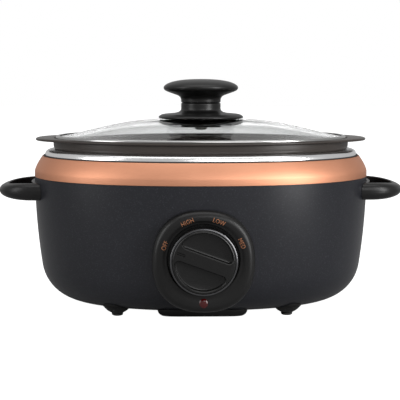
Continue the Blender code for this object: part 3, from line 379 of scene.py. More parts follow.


# ---------------------------------------------------------------- Heating well
# The liner that the pot drops into, pressed from stainless sheet. Its mouth is rolled outwards into
# a bright polished rim on the band's shelf. A thin black ring round its foot is painted shade for the
# shadow in the gap there.

well_low, well_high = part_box("heating_well")
WELL_INSET = 0.0204
WELL_METAL = 0.0012
WELL_DRAFT = 0.0056
WELL_CORNER = 0.022
RIM_FLARE = 0.0108
WELL_FLOOR = well_low.z + WELL_METAL
WELL_TOP = well_high.z
RIM_FOOT = band_high.z + 0.0003
STEEL_DARK = (0.80, 0.80, 0.81)
STEEL_LIGHT = (0.90, 0.90, 0.90)


def vessel(top_inset, top, draft, corner, floor, steps=10):
    """(inset, height) up one side of a drafted vessel, from the edge of its floor to its top."""
    centre = top_inset + draft + corner
    points = []
    for step in range(steps + 1):
        turn = math.pi / 2 * step / steps
        points.append((centre - corner * math.sin(turn), floor + corner - corner * math.cos(turn)))
    points.append((top_inset, top))
    return points


rim_edge = WELL_INSET - RIM_FLARE
well_inside = vessel(WELL_INSET, WELL_TOP - 0.0006, WELL_DRAFT, WELL_CORNER, WELL_FLOOR)
well_outside = vessel(WELL_INSET - WELL_METAL, WELL_TOP - 0.0030, WELL_DRAFT, WELL_CORNER + WELL_METAL,
                      WELL_FLOOR - WELL_METAL)
rolled_rim = eased([(WELL_INSET - 0.0005, WELL_TOP), (WELL_INSET - 0.0036, WELL_TOP),
                    (rim_edge + 0.0028, WELL_TOP - 0.0007), (rim_edge + 0.0008, WELL_TOP - 0.0026),
                    (rim_edge, RIM_FOOT)])
rim_back = eased([(rim_edge + WELL_METAL, RIM_FOOT), (rim_edge + 0.0022, WELL_TOP - 0.0034),
                  (rim_edge + 0.0038, WELL_TOP - 0.0019), (WELL_INSET - 0.0038, WELL_TOP - WELL_METAL)])
well_rings = [body_ring(*point) for point in well_inside + rolled_rim + rim_back + well_outside[::-1]]
polished_steel = finish("polished_stainless", STEEL_DARK, STEEL_LIGHT, (0.18, 0.26), metallic=1.0,
                        mottle=16.0, brush=(30.0, 70.0, 0.00003))
fit(skin("heating_well_liner", well_rings), polished_steel, "base", "polished_steel", "heating_well")

# A thin black ring in the gap round the rim's foot. It is painted shade standing in for the shadow in that
# gap, not a real seal.
seal_outline = [(rim_edge - 0.0001, band_high.z + 0.0001), (rim_edge - 0.0009, band_high.z + 0.0001),
                (rim_edge - 0.0011, band_high.z + 0.0004), (rim_edge - 0.0010, band_high.z + 0.0009),
                (rim_edge - 0.0005, band_high.z + 0.0012), (rim_edge - 0.0001, band_high.z + 0.0012)]
gap_shade_finish = finish("painted_gap_shade_black", (0.010, 0.010, 0.010), (0.018, 0.018, 0.018), (0.55, 0.70), mottle=90.0,
                  grain=(1500.0, 0.00003))
rim_gap_shade_ring = skin("rim_gap_shade_ring", [body_ring(*point) for point in seal_outline], closed=True)
fit(rim_gap_shade_ring, gap_shade_finish, "base", "foot_rubber")


# ---------------------------------------------------------------- Heater, base plate and wiring
# What the shell hides: a mica heater band in glass-fibre wadding, a cast plate with its thermal
# fuse, an aluminium reflector on a centre stud, and the zinc-plated base plate with its wiring.

zinc = finish("zinc_plate", (0.36, 0.37, 0.39), (0.52, 0.53, 0.54), (0.34, 0.50), metallic=1.0,
              mottle=60.0, contrast=2.6, grain=(420.0, 0.00003))
cast_metal = finish("cast_aluminium", (0.42, 0.42, 0.42), (0.56, 0.56, 0.55), (0.45, 0.60), metallic=1.0,
                    mottle=40.0, grain=(700.0, 0.00012))
bright_sheet = finish("aluminium_sheet", (0.70, 0.70, 0.71), (0.80, 0.80, 0.80), (0.24, 0.36),
                      metallic=1.0, brush=(40.0, 40.0, 0.00003))
mica = finish("mica_board", (0.33, 0.27, 0.17), (0.50, 0.42, 0.28), (0.50, 0.65), mottle=90.0,
              contrast=2.4, flecks=(500.0, 0.16, (0.62, 0.56, 0.42)))
wadding = finish("glass_fibre_wadding", (0.66, 0.63, 0.54), (0.84, 0.82, 0.75), (0.85, 0.95),
                 mottle=120.0, contrast=2.2, brush=(160.0, 5.0, 0.00060))
brass = finish("turned_brass", (0.60, 0.42, 0.16), (0.76, 0.56, 0.26), (0.22, 0.34), metallic=1.0,
               brush=(60.0, 30.0, 0.00003))
screw_steel = finish("zinc_screw_steel", (0.50, 0.50, 0.50), (0.66, 0.66, 0.65), (0.24, 0.36),
                     metallic=1.0, mottle=220.0, brush=(200.0, 12.0, 0.00003))
phenolic = finish("brown_phenolic", (0.060, 0.034, 0.020), (0.110, 0.064, 0.040), (0.42, 0.56),
                  mottle=150.0, contrast=2.4, grain=(900.0, 0.00004))
sleeving = finish("silicone_sleeving", (0.46, 0.46, 0.43), (0.62, 0.61, 0.57), (0.48, 0.62),
                  mottle=200.0, brush=(300.0, 3.0, 0.00008))
lamp_glass = finish("lamp_glass", (0.70, 0.42, 0.34), (0.86, 0.62, 0.52), (0.05, 0.12), coat=0.6)

INSIDE_FINISHES = (
    (zinc, ("base_plate", "thermal_fuse")), (cast_metal, ("heater_plate",)),
    (bright_sheet, ("heat_reflector", "stud_sleeve")), (mica, ("heater_band",)),
    (wadding, ("insulation_wrap",)), (brass, ("earth_screw",)),
    (screw_steel, ("heater_clamp", "fuse_clip", "centre_stud", "stud_washer", "stud_nut", "switch_nut",
                   "panel_screw_left", "panel_screw_right", "switch_shaft", "knob_clip",
                   "handle_screw_left_front", "handle_screw_left_back", "handle_screw_right_front",
                   "handle_screw_right_back")),
    (phenolic, ("terminal_block", "rotary_switch")), (lamp_glass, ("indicator_lamp",)),
    (sleeving, ("lead_supply", "lead_switch", "lead_heater", "lead_lamp")),
)
for material, names in INSIDE_FINISHES:
    for name in names:
        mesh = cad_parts[name].data
        mesh.materials.clear()
        mesh.materials.append(material)


# ---------------------------------------------------------------- Base screws, feet and rubber pads
# Four screws hold the base plate, and four moulded feet sit under the corners of the oval, each with
# a pressed-in rubber pad. The four of each are one part repeated at the corners of a rectangle.

pad_low, pad_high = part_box("foot_pad_right_back")
screw_low, screw_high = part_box("base_screw_1")
FOOT_X = (pad_low.x + pad_high.x) / 2
FOOT_Y = (pad_low.y + pad_high.y) / 2 - MIDDLE_Y
FOOT_RADIUS = 0.0062
FOOT_BOSS = 0.0145
BOSS_TOP = 0.034
FOOT_BOTTOM = 0.0025
PAD_HEIGHT = pad_high.z
PAD_RADIUS = (pad_high.x - pad_low.x) / 2
SCREW_HEAD_RADIUS = 0.0033
SCREW_SHANK_RADIUS = 0.0017
SCREW_CROSS = (0.0036, 0.0008, 0.0018)
CLEARANCE = 0.0003
FORM_RISE = 0.02
BLACK_DARK = (0.0042, 0.0041, 0.0041)
BLACK_LIGHT = (0.0066, 0.0064, 0.0064)


def disc_ring(radius, height, count=64):
    turns = [2 * math.pi * step / count for step in range(count)]
    return [(radius * math.cos(turn), radius * math.sin(turn), height) for turn in turns]


def corner_copies_tree():
    """Four copies of a piece, one at each corner of a level rectangle."""
    tree = bpy.data.node_groups.new("corner_copies", "GeometryNodeTree")
    tree.interface.new_socket(name="Geometry", in_out="INPUT", socket_type="NodeSocketGeometry")
    tree.interface.new_socket(name="Half Width", in_out="INPUT", socket_type="NodeSocketFloat")
    tree.interface.new_socket(name="Half Depth", in_out="INPUT", socket_type="NodeSocketFloat")
    tree.interface.new_socket(name="Middle", in_out="INPUT", socket_type="NodeSocketVector")
    tree.interface.new_socket(name="Finish", in_out="INPUT", socket_type="NodeSocketMaterial")
    tree.interface.new_socket(name="Geometry", in_out="OUTPUT", socket_type="NodeSocketGeometry")
    given, result = tree.nodes.new("NodeGroupInput"), tree.nodes.new("NodeGroupOutput")
    corners = tree.nodes.new("GeometryNodeMeshGrid")
    corners.inputs["Vertices X"].default_value = corners.inputs["Vertices Y"].default_value = 2
    shift = tree.nodes.new("GeometryNodeTransform")
    copies = tree.nodes.new("GeometryNodeInstanceOnPoints")
    real = tree.nodes.new("GeometryNodeRealizeInstances")
    paint = tree.nodes.new("GeometryNodeSetMaterial")
    for label, side in (("Half Width", "Size X"), ("Half Depth", "Size Y")):
        double = tree.nodes.new("ShaderNodeMath")
        double.operation = "MULTIPLY"
        double.inputs[1].default_value = 2.0
        tree.links.new(given.outputs[label], double.inputs[0])
        tree.links.new(double.outputs[0], corners.inputs[side])
    tree.links.new(corners.outputs["Mesh"], shift.inputs["Geometry"])
    tree.links.new(given.outputs["Middle"], shift.inputs["Translation"])
    tree.links.new(shift.outputs["Geometry"], copies.inputs["Points"])
    tree.links.new(given.outputs["Geometry"], copies.inputs["Instance"])
    tree.links.new(copies.outputs["Instances"], real.inputs["Geometry"])
    tree.links.new(real.outputs["Geometry"], paint.inputs["Geometry"])
    tree.links.new(given.outputs["Finish"], paint.inputs["Material"])
    tree.links.new(paint.outputs["Geometry"], result.inputs["Geometry"])
    return tree


def settle(obj):
    """Turns a piece's modifiers into plain mesh."""
    bpy.context.view_layer.update()
    graph = bpy.context.evaluated_depsgraph_get()
    mesh = bpy.data.meshes.new_from_object(obj.evaluated_get(graph))
    obj.modifiers.clear()
    obj.data = mesh
    mesh.shade_smooth()
    mesh.set_sharp_from_angle(angle=SHARP_ANGLE)
    return obj


def at_corners(obj, material, half_width, half_depth):
    """Repeats a piece made on the Z axis at the four corners of a rectangle about the body's middle."""
    step = obj.modifiers.new("Corners", "NODES")
    step.node_group = CORNER_COPIES
    values = {"Half Width": half_width, "Half Depth": half_depth, "Middle": (0.0, MIDDLE_Y, 0.0),
              "Finish": material}
    for socket in CORNER_COPIES.interface.items_tree:
        if socket.in_out == "INPUT" and socket.name in values:
            step[socket.identifier] = values[socket.name]
    return settle(obj)


def carve(obj, operation, *others):
    """Cuts pieces out of another, or joins them to it, and removes them."""
    for other in others:
        step = obj.modifiers.new(other.name, "BOOLEAN")
        step.operation = operation
        step.solver = "EXACT"
        step.object = other
    settle(obj)
    for other in others:
        bpy.data.objects.remove(other, do_unlink=True)
    return obj


def body_form(offset):
    """The body's outside grown by the offset, to cut what sits against it."""
    rings = [body_ring(-offset, SHELL_TOP + FORM_RISE)]
    return skin("body_form", rings + [body_ring(*point) for point in wall_profile(-offset)])


def slot_form(place, turn, size):
    """One bar of a cross recess, to cut from a screw's head."""
    built = bmesh.new()
    bmesh.ops.create_cube(built, size=1.0, matrix=Matrix.Translation(place)
                          @ Matrix.Rotation(math.radians(turn), 4, "Z") @ Matrix.Diagonal((*size, 1.0)))
    return piece("slot_form", sheet_from(built, "slot_form"))


CORNER_COPIES = corner_copies_tree()
black_plastic = finish("black_moulded_plastic", BLACK_DARK, BLACK_LIGHT, (0.30, 0.39), mottle=11.0,
                       grain=(2100.0, 0.000016), ior=1.36)
rubber = finish("foot_rubber", (0.012, 0.012, 0.012), (0.024, 0.023, 0.022), (0.70, 0.85), mottle=140.0,
                contrast=2.0, grain=(1400.0, 0.00006))

foot_outline = [(FOOT_RADIUS - 0.0008, FOOT_BOTTOM), (FOOT_RADIUS, FOOT_BOTTOM + 0.0005),
                (FOOT_RADIUS + 0.0030, 0.0049), (FOOT_BOSS - 0.0024, 0.0078), (FOOT_BOSS - 0.0007, 0.0100),
                (FOOT_BOSS, 0.0130), (FOOT_BOSS, 0.0200), (FOOT_BOSS, BOSS_TOP)]
feet = skin("feet", [disc_ring(*point) for point in eased(foot_outline)])
at_corners(feet, black_plastic, FOOT_X, FOOT_Y)
carve(feet, "DIFFERENCE", body_form(CLEARANCE))
fit(feet, black_plastic, "base", "black_plastic", "foot_left_front", "foot_left_back",
    "foot_right_front", "foot_right_back")

pad_outline = [(0.0020, 0.0), (PAD_RADIUS - 0.0012, 0.0), (PAD_RADIUS - 0.0005, 0.0003),
               (PAD_RADIUS - 0.0001, 0.0010), (PAD_RADIUS, PAD_HEIGHT - 0.0004),
               (PAD_RADIUS - 0.0004, PAD_HEIGHT)]
pads = skin("foot_pads", [disc_ring(*point, count=48) for point in pad_outline])
at_corners(pads, rubber, FOOT_X, FOOT_Y)
fit(pads, rubber, "base", "foot_rubber", "foot_pad_left_front", "foot_pad_left_back",
    "foot_pad_right_front", "foot_pad_right_back")

shank_top = screw_high.z
head_top = SHELL_BOTTOM - CLEARANCE
head_low = screw_low.z
screw_outline = [(0.0004, shank_top), (SCREW_SHANK_RADIUS, shank_top - 0.0012),
                 (SCREW_SHANK_RADIUS, head_top), (SCREW_HEAD_RADIUS, head_top),
                 (SCREW_HEAD_RADIUS, head_top - 0.0008),
                 (SCREW_HEAD_RADIUS - 0.0007, head_low + 0.0005), (SCREW_HEAD_RADIUS - 0.0018, head_low)]
base_screws = skin("base_screws", [disc_ring(*point, count=32) for point in screw_outline])
for turn in (0.0, 90.0):
    carve(base_screws, "DIFFERENCE", slot_form((0.0, 0.0, head_low), turn, SCREW_CROSS))
SCREW_X = (screw_low.x + screw_high.x) / 2
SCREW_Y = (screw_low.y + screw_high.y) / 2 - MIDDLE_Y
at_corners(base_screws, screw_steel, SCREW_X, SCREW_Y)
fit(base_screws, screw_steel, "base", "fastener_steel", "base_screw_1", "base_screw_2", "base_screw_3",
    "base_screw_4")


# ---------------------------------------------------------------- Cord gland
# The moulded bush at the back that the supply cord comes out of: a flange against the shell and a
# short tapered snout. The cord itself isn't part of this model.

gland_low, gland_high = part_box("cord_gland")
GLAND_Z = (gland_low.z + gland_high.z) / 2
GLAND_END = gland_high.y
GLAND_FLANGE = (gland_high.z - gland_low.z) / 2
GLAND_BORE = 0.0040
GLAND_NECK = 0.0062
gland_wall = MIDDLE_Y + HALF_DEPTH - wall_inset(GLAND_Z)


def back_ring(radius, reach, height, count=64):
    turns = [2 * math.pi * step / count for step in range(count)]
    return [(radius * math.cos(turn), reach, height + radius * math.sin(turn)) for turn in turns]


gland_outline = [(GLAND_BORE, gland_wall - 0.006), (GLAND_NECK, gland_wall - 0.006),
                 (GLAND_NECK, gland_wall + 0.0030), (GLAND_FLANGE, gland_wall + 0.0030),
                 (GLAND_FLANGE - 0.0002, gland_wall + 0.0038), (GLAND_NECK + 0.0022, gland_wall + 0.0044),
                 (GLAND_NECK + 0.0006, gland_wall + 0.0052), (GLAND_NECK - 0.0002, GLAND_END - 0.0030),
                 (GLAND_NECK - 0.0010, GLAND_END - 0.0006), (GLAND_NECK - 0.0015, GLAND_END),
                 (GLAND_BORE + 0.0003, GLAND_END), (GLAND_BORE, GLAND_END - 0.0004)]
gland = skin("cord_bush", [back_ring(radius, reach, GLAND_Z) for radius, reach in gland_outline], closed=True)
fit(gland, black_plastic, "base", "black_plastic", "cord_gland")


# ---------------------------------------------------------------- Side handles
# A flat moulded loop on each side with a slot for the fingers, screwed on from inside the shell. Its
# inner face follows the body's oval, its section is crowned, and it thins towards its nose.

handle_low, handle_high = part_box("handle_right")
HANDLE_ROOT = 0.150
HANDLE_POWER = 2.6
HANDLE_BAR = 0.0085
HANDLE_PLATE = 0.0028
HANDLE_NOSE = 0.008
HANDLE_TAPER = 0.40
HANDLE_SECTION = ((0.030, 0.0), (0.012, 0.0), (0.0055, 0.02), (0.0016, 0.15), (0.0, 0.40), (0.0, 0.60),
                  (0.0016, 0.85), (0.0055, 0.98), (0.012, 1.0), (0.030, 1.0))
SLOT_SECTION = ((0.0055, -0.12), (0.0076, 0.0), (0.0084, 0.06), (HANDLE_BAR, 0.14), (HANDLE_BAR, 0.86),
                (0.0084, 0.94), (0.0076, 1.0), (0.0055, 1.12))
handle_middle = (handle_low.z + handle_high.z) / 2
handle_thick = handle_high.z - handle_low.z
handle_reach = handle_high.x - HANDLE_ROOT
handle_span = (handle_high.y - handle_low.y) / 2


def handle_ring(side, shrink, share):
    """One ring of a handle, at a share of its height; the height shrinks towards the nose."""
    points = []
    for u, v in oval_points(handle_reach - shrink, handle_span - shrink, HANDLE_POWER, 128):
        out = max(0.0, u - HANDLE_NOSE) / (handle_reach - HANDLE_NOSE)
        height = handle_thick * (share - 0.5) * (1 - HANDLE_TAPER * out ** 2)
        points.append((side * (HANDLE_ROOT + u), MIDDLE_Y + v, handle_middle + height))
    return points


for label, side in (("left", -1), ("right", 1)):
    section = [(max(shrink, 0.0), min(max(share, 0.0), 1.0)) for shrink, share in eased(HANDLE_SECTION, 3)]
    handle = skin(f"side_handle_{label}", [handle_ring(side, *point) for point in section])
    finger_slot = skin("finger_slot", [handle_ring(side, *point) for point in SLOT_SECTION])
    carve(finger_slot, "DIFFERENCE", body_form(CLEARANCE + HANDLE_PLATE))
    carve(handle, "DIFFERENCE", finger_slot, body_form(CLEARANCE))
    fit(handle, black_plastic, "base", "black_plastic", f"handle_{label}")


# ---------------------------------------------------------------- Control panel
# The squarish black moulding on the front: a rounded outer roll, a shallow dish inside it and a
# round recess for the dial. Its back edge follows the body's barrelled wall.

panel_low, panel_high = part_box("control_bezel")
PANEL_HALF_WIDTH = (panel_high.x - panel_low.x) / 2
PANEL_HALF_HEIGHT = (panel_high.z - panel_low.z) / 2
PANEL_Z = (panel_low.z + panel_high.z) / 2
PANEL_REACH = MIDDLE_Y - panel_low.y
PANEL_POWER = 2.3
PANEL_WALL = 0.0022
DIAL_Z = 0.0605
RECESS_RADIUS = 0.0307
RECESS_DEPTH = 0.0065
DISH_DEPTH = 0.0009
DISH_STEPS = 12
ROLL_WIDTH = 0.0062
MOUTH_WIDTH = 0.0012
BUSH_HOLE = 0.006
PANEL_BACKING = 0.003


def front_ring(half_u, half_v, middle_z, reach, power):
    return [(u, MIDDLE_Y - reach, middle_z + v) for u, v in oval_points(half_u, half_v, power)]


def front_disc(radius, reach, middle_z):
    return front_ring(radius, radius, middle_z, reach, 2.0)


def panel_ring(shrink, reach):
    return front_ring(PANEL_HALF_WIDTH - shrink, PANEL_HALF_HEIGHT - shrink, PANEL_Z, reach, PANEL_POWER)


def against_body(ring, gap):
    """Slides a ring of the panel back to the body's surface."""
    points = []
    for x, _, z in ring:
        inset = wall_inset(z)
        share = abs(x) / (HALF_WIDTH - inset)
        reach = (HALF_DEPTH - inset) * (1 - share ** OVAL_POWER) ** (1 / OVAL_POWER)
        points.append((x, MIDDLE_Y - reach - gap, z))
    return points


def between(ring, other, share):
    return [tuple(a + (b - a) * share for a, b in zip(*pair)) for pair in zip(ring, other)]


roll_outline = arc((ROLL_WIDTH, PANEL_REACH - ROLL_WIDTH), ROLL_WIDTH, 180, 90, 10)
roll = [panel_ring(*point) for point in roll_outline]
dish_edge = panel_ring(ROLL_WIDTH + 0.0014, PANEL_REACH - 0.0001)
dish_floor = PANEL_REACH - DISH_DEPTH
recess_floor = PANEL_REACH - RECESS_DEPTH
recess_mouth = front_disc(RECESS_RADIUS + MOUTH_WIDTH, dish_floor, DIAL_Z)
dish = []
for step in range(DISH_STEPS + 1):
    share = step / DISH_STEPS
    sunk = between(dish_edge, recess_mouth, share)
    dip = DISH_DEPTH * (share ** 2 * (3 - 2 * share) - share)
    dish.append([(x, y + dip, z) for x, y, z in sunk])
recess = [front_disc(RECESS_RADIUS + 0.0004, dish_floor - 0.0002, DIAL_Z),
          front_disc(RECESS_RADIUS, dish_floor - 0.0009, DIAL_Z),
          front_disc(RECESS_RADIUS, recess_floor, DIAL_Z), front_disc(BUSH_HOLE, recess_floor, DIAL_Z)]
back_edge = against_body(panel_ring(0.0, PANEL_REACH), CLEARANCE)
back_inner = against_body(panel_ring(PANEL_WALL, PANEL_REACH), CLEARANCE)
panel_inside = [back_inner, panel_ring(PANEL_WALL, recess_floor - PANEL_BACKING),
                front_disc(BUSH_HOLE, recess_floor - PANEL_BACKING, DIAL_Z)]
panel_rings = recess[::-1] + dish[::-1] + roll[::-1] + [back_edge] + panel_inside
panel = skin("control_panel", panel_rings, closed=True)
fit(panel, black_plastic, "base", "black_plastic", "control_bezel")


# ---------------------------------------------------------------- Dial words
# The four settings, pad-printed in copper ink on the dish round the dial, each word turned to face
# the dial's middle. The ink is a hair thick and follows the dish.

WORD_RADIUS = 0.0352
WORD_SIZE = 0.0056
WORD_NARROW = 0.80
WORD_CUT = 0.0006
WORD_CUTS = ((0, 16), (1, 8))
INK_THICK = 0.00014
SETTINGS = (("OFF", 159.0), ("HIGH", 113.0), ("LOW", 68.5), ("MED", 24.0))


def printed_word(word, angle):
    text = bpy.data.curves.new(f"word_{word.lower()}", "FONT")
    text.body = word
    text.size = WORD_SIZE
    text.align_x = "CENTER"
    text.align_y = "CENTER"
    text.space_character = 1.08
    text.offset = -0.00003
    holder = piece(text.name, text)
    graph = bpy.context.evaluated_depsgraph_get()
    mesh = bpy.data.meshes.new_from_object(holder.evaluated_get(graph))
    bpy.data.objects.remove(holder, do_unlink=True)
    flat = bmesh.new()
    flat.from_mesh(mesh)
    for axis, reach in WORD_CUTS:
        across = Vector((axis == 0, axis == 1, 0))
        for cut in range(-reach, reach + 1):
            bmesh.ops.bisect_plane(flat, geom=flat.verts[:] + flat.edges[:] + flat.faces[:],
                                   plane_co=across * (cut * WORD_CUT), plane_no=across)
    flat.to_mesh(mesh)
    flat.free()
    turn = math.radians(angle)
    centre = (WORD_RADIUS * math.cos(turn), WORD_RADIUS * math.sin(turn))
    tilt = turn - math.pi / 2
    for vertex in mesh.vertices:
        across, up = vertex.co.x * WORD_NARROW, vertex.co.y
        x = centre[0] + across * math.cos(tilt) - up * math.sin(tilt)
        z = DIAL_Z + centre[1] + across * math.sin(tilt) + up * math.cos(tilt)
        hit = PANEL_TREE.ray_cast(Vector((x, -1.0, z)), Vector((0, 1, 0)))[0]
        vertex.co = (x, hit.y - INK_THICK, z)
    return mesh


PANEL_TREE = BVHTree.FromObject(panel, bpy.context.evaluated_depsgraph_get())
words = bmesh.new()
for word, angle in SETTINGS:
    words.from_mesh(printed_word(word, angle))
bmesh.ops.remove_doubles(words, verts=words.verts, dist=0.000001)
thick = bmesh.ops.extrude_face_region(words, geom=words.faces[:])
for vertex in (item for item in thick["geom"] if isinstance(item, bmesh.types.BMVert)):
    vertex.co.y += 2 * INK_THICK
copper_ink = finish("copper_ink", (0.40, 0.160, 0.075), (0.52, 0.225, 0.115), (0.34, 0.46), metallic=0.55,
                    mottle=260.0, grain=(3000.0, 0.00001))
fit(piece("dial_words", sheet_from(words, "dial_words")), copper_ink, "base", "copper_satin")


# ---------------------------------------------------------------- Indicator lamp lens
# A small domed lens moulded in clear red plastic, set in the dish below the dial in front of a neon
# lamp.

lens_low, lens_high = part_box("indicator_lens")
LENS_Z = (lens_low.z + lens_high.z) / 2
LENS_RADIUS = 0.0045
LENS_DOME = 0.0022
LENS_BACK = MIDDLE_Y - lens_high.y
LENS_FRONT = MIDDLE_Y - lens_low.y


lens_outline = [(LENS_RADIUS, LENS_BACK), (LENS_RADIUS, LENS_FRONT - LENS_DOME - 0.0004)]
for turn in range(0, 88, 8):
    lens_outline.append((LENS_RADIUS * math.cos(math.radians(turn)),
                         LENS_FRONT - LENS_DOME + LENS_DOME * math.sin(math.radians(turn))))
lens = skin("lamp_lens", [front_disc(radius, reach, LENS_Z) for radius, reach in lens_outline])
red_plastic = finish("clear_red_plastic", (0.040, 0.0008, 0.0010), (0.080, 0.0018, 0.0020), (0.06, 0.12),
                     mottle=160.0, coat=0.3, coat_roughness=0.03, ior=1.40)
red_plastic.node_tree.nodes["Principled BSDF"].inputs["Transmission Weight"].default_value = 0.15
fit(lens, red_plastic, "base", "red_lens", "indicator_lens")


# ---------------------------------------------------------------- Front skid
# The black block under the panel that the cooker's front rests back on. It is pegged to the shell's
# bottom corner, and its lower edges are rounded.

skid_low, skid_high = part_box("front_foot")
SKID_HALF_WIDTH = (skid_high.x - skid_low.x) / 2
SKID_HALF_DEPTH = 0.0115
SKID_Y = skid_low.y + SKID_HALF_DEPTH
SKID_POWER = 5.0


def skid_ring(shrink, height):
    points = oval_points(SKID_HALF_WIDTH - shrink, SKID_HALF_DEPTH - shrink * 0.5, SKID_POWER)
    return [(u, SKID_Y + v, height) for u, v in points]


skid_outline = [(0.0046, 0.0025), (0.0036, 0.0028), (0.0022, 0.0037), (0.0010, 0.0050), (0.0003, 0.0066),
                (0.0, 0.0085), (0.0, 0.0200)]
skid = skin("front_skid", [skid_ring(*point) for point in skid_outline])
carve(skid, "DIFFERENCE", body_form(CLEARANCE))
fit(skid, black_plastic, "base", "black_plastic", "front_foot")


# ---------------------------------------------------------------- Dial
# The black knob with two deep D-shaped pockets, which leave a bar to grip, and a short pointer cut in
# the bar's end. A smoked steel ring sits in its rim. All of it turns on the switch shaft.

dial_low, dial_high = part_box("control_knob")
DIAL_RADIUS = (dial_high.x - dial_low.x) / 2
DIAL_FRONT = MIDDLE_Y - dial_low.y
DIAL_BACK = MIDDLE_Y - dial_high.y
DIAL_BAR = 0.0117
DIAL_ANGLE = math.radians(160)
POCKET_DEPTH = 0.0055
POCKET_RADIUS = DIAL_RADIUS - 0.0036
POCKET_CORNER = 0.0034
POCKET_EDGE = 0.0007
POINTER_NEAR = 0.0166
POINTER_FAR = 0.0244
POINTER_HALF = 0.00085
RING_SEAT = DIAL_FRONT - 0.0043
DIAL_SHOULDER = DIAL_RADIUS - 0.0014
RING_BORE = DIAL_RADIUS - 0.0011
HUB_RADIUS = 0.0110
SHAFT_HOLE = 0.0042


def rounded_d(radius, bar, corner, steps=8):
    """The outline of one pocket: a circle's segment with its two sharp corners rounded."""
    across = math.sqrt((radius - corner) ** 2 - (bar + corner) ** 2)
    start = math.degrees(math.atan2(bar + corner, across))
    points = arc((0, 0), radius, start, 180 - start, 40)
    points += arc((-across, bar + corner), corner, 180 - start, 270, steps)[1:]
    points += arc((across, bar + corner), corner, -90, start, steps)[:-1]
    return points


def on_dial(u, v, reach):
    """A point of the dial's face, with u along the pointer."""
    x = u * math.cos(DIAL_ANGLE) - v * math.sin(DIAL_ANGLE)
    z = u * math.sin(DIAL_ANGLE) + v * math.cos(DIAL_ANGLE)
    return (x, MIDDLE_Y - reach, DIAL_Z + z)


def pocket_form(side):
    """A pocket with a bevelled mouth, a slight draft and a rounded floor."""
    floor = DIAL_FRONT - POCKET_DEPTH
    levels = [(0.0016, floor), (0.0006, floor + 0.0004), (0.0002, floor + 0.0012),
              (0.0, DIAL_FRONT - POCKET_EDGE), (-POCKET_EDGE - 0.0010, DIAL_FRONT + 0.0010)]
    rings = []
    for shrink, reach in levels:
        corner = POCKET_CORNER - min(shrink, 0.0012)
        outline = rounded_d(POCKET_RADIUS - shrink, DIAL_BAR / 2 + shrink, corner)
        rings.append([on_dial(u, side * v, reach) for u, v in outline])
    return skin("pocket_form", rings)


def pointer_form():
    """The pointer: a short round-ended groove."""
    rings = []
    for shrink, rise in ((0.0003, -0.0010), (0.0, -0.0004), (-0.0008, 0.0004)):
        half = POINTER_HALF - shrink
        outline = arc((POINTER_FAR - half, 0), half, -90, 90, 8)
        outline += arc((POINTER_NEAR + half, 0), half, 90, 270, 8)
        rings.append([on_dial(u, v, DIAL_FRONT + rise) for u, v in outline])
    return skin("pointer_form", rings)


dial_black = finish("dial_black_gloss", (0.0034, 0.0034, 0.0034), (0.0052, 0.0051, 0.0050), (0.22, 0.31),
                    mottle=16.0, grain=(2600.0, 0.000010), ior=1.38)
dial_outline = [(DIAL_RADIUS - 0.0005, DIAL_BACK), (DIAL_RADIUS, DIAL_BACK + 0.0008),
                (DIAL_RADIUS, RING_SEAT), (DIAL_SHOULDER, RING_SEAT), (DIAL_SHOULDER, DIAL_FRONT - 0.0014),
                (DIAL_RADIUS - 0.0016, DIAL_FRONT - 0.0008), (DIAL_RADIUS - 0.0021, DIAL_FRONT - 0.0003),
                (DIAL_RADIUS - 0.0028, DIAL_FRONT)]
dial = skin("dial", [front_disc(radius, reach, DIAL_Z) for radius, reach in dial_outline])
hub = skin("hub_form", [front_disc(HUB_RADIUS, DIAL_BACK + rise, DIAL_Z) for rise in (-0.002, 0.004)])
shaft_hole = skin("shaft_form",
                  [front_disc(SHAFT_HOLE, DIAL_BACK + rise, DIAL_Z) for rise in (-0.002, 0.0131)])
carve(dial, "DIFFERENCE", hub, shaft_hole, pocket_form(1), pocket_form(-1), pointer_form())
fit(dial, dial_black, "control_knob", "black_plastic", "control_knob")

ring_low, ring_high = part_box("dial_ring")
RING_OUT = (ring_high.x - ring_low.x) / 2
ring_back, ring_front = MIDDLE_Y - ring_high.y, MIDDLE_Y - ring_low.y
ring_outline = [(RING_BORE, ring_front), (DIAL_RADIUS - 0.0005, ring_front),
                (RING_OUT - 0.0001, ring_front - 0.0005), (RING_OUT, ring_front - 0.0010),
                (RING_OUT, ring_back + 0.0006), (RING_OUT - 0.0004, ring_back), (RING_BORE, ring_back)]
dial_steel = finish("dial_ring_steel", (0.075, 0.075, 0.078), (0.120, 0.120, 0.124), (0.20, 0.30),
                    metallic=1.0, mottle=60.0, grain=(1800.0, 0.00001))
ring_rings = [front_disc(radius, reach, DIAL_Z) for radius, reach in ring_outline]
dial_ring = skin("dial_bright_ring", ring_rings, closed=True)
fit(dial_ring, dial_steel, "control_knob", "dial_ring_chrome", "dial_ring")


# ---------------------------------------------------------------- Cooking pot
# The lift-out pot: cast aluminium with a dark speckled non-stick coat inside and out. Its shoulder
# stands over the well, and its flat rim runs out at each end into a wing ear for lifting.

pot_low, pot_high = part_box("cooking_pot")
POT_TOP = pot_high.z
POT_WALL = 0.0025
POT_INSET = 0.0219
POT_SEAT = WELL_TOP + 0.0003
POT_CORNER = 0.0205
POT_FLOOR = pot_low.z
SKIRT_INSET = 0.0177
RIM_OUT = SKIRT_INSET - 0.0032
RIM_THICK = 0.0030
LEDGE_HEIGHT = POT_TOP - 0.0028
LEDGE_INSET = SKIRT_INSET + 0.0007
LEDGE_WIDTH = 0.0050
EAR_HALF_WIDTH = pot_high.x
EAR_HALF_DEPTH = 0.074
EAR_POWER = 2.4
EAR_THICK = 0.0022
EAR_FLARE = 0.010
NONSTICK_DARK = (0.0270, 0.0218, 0.0188)
NONSTICK_LIGHT = (0.0370, 0.0302, 0.0262)


def reach_at(turn, half_x, half_y, power):
    """How far a superellipse is from its middle in one direction."""
    return ((abs(math.cos(turn)) / half_x) ** power + (abs(math.sin(turn)) / half_y) ** power) ** (-1 / power)


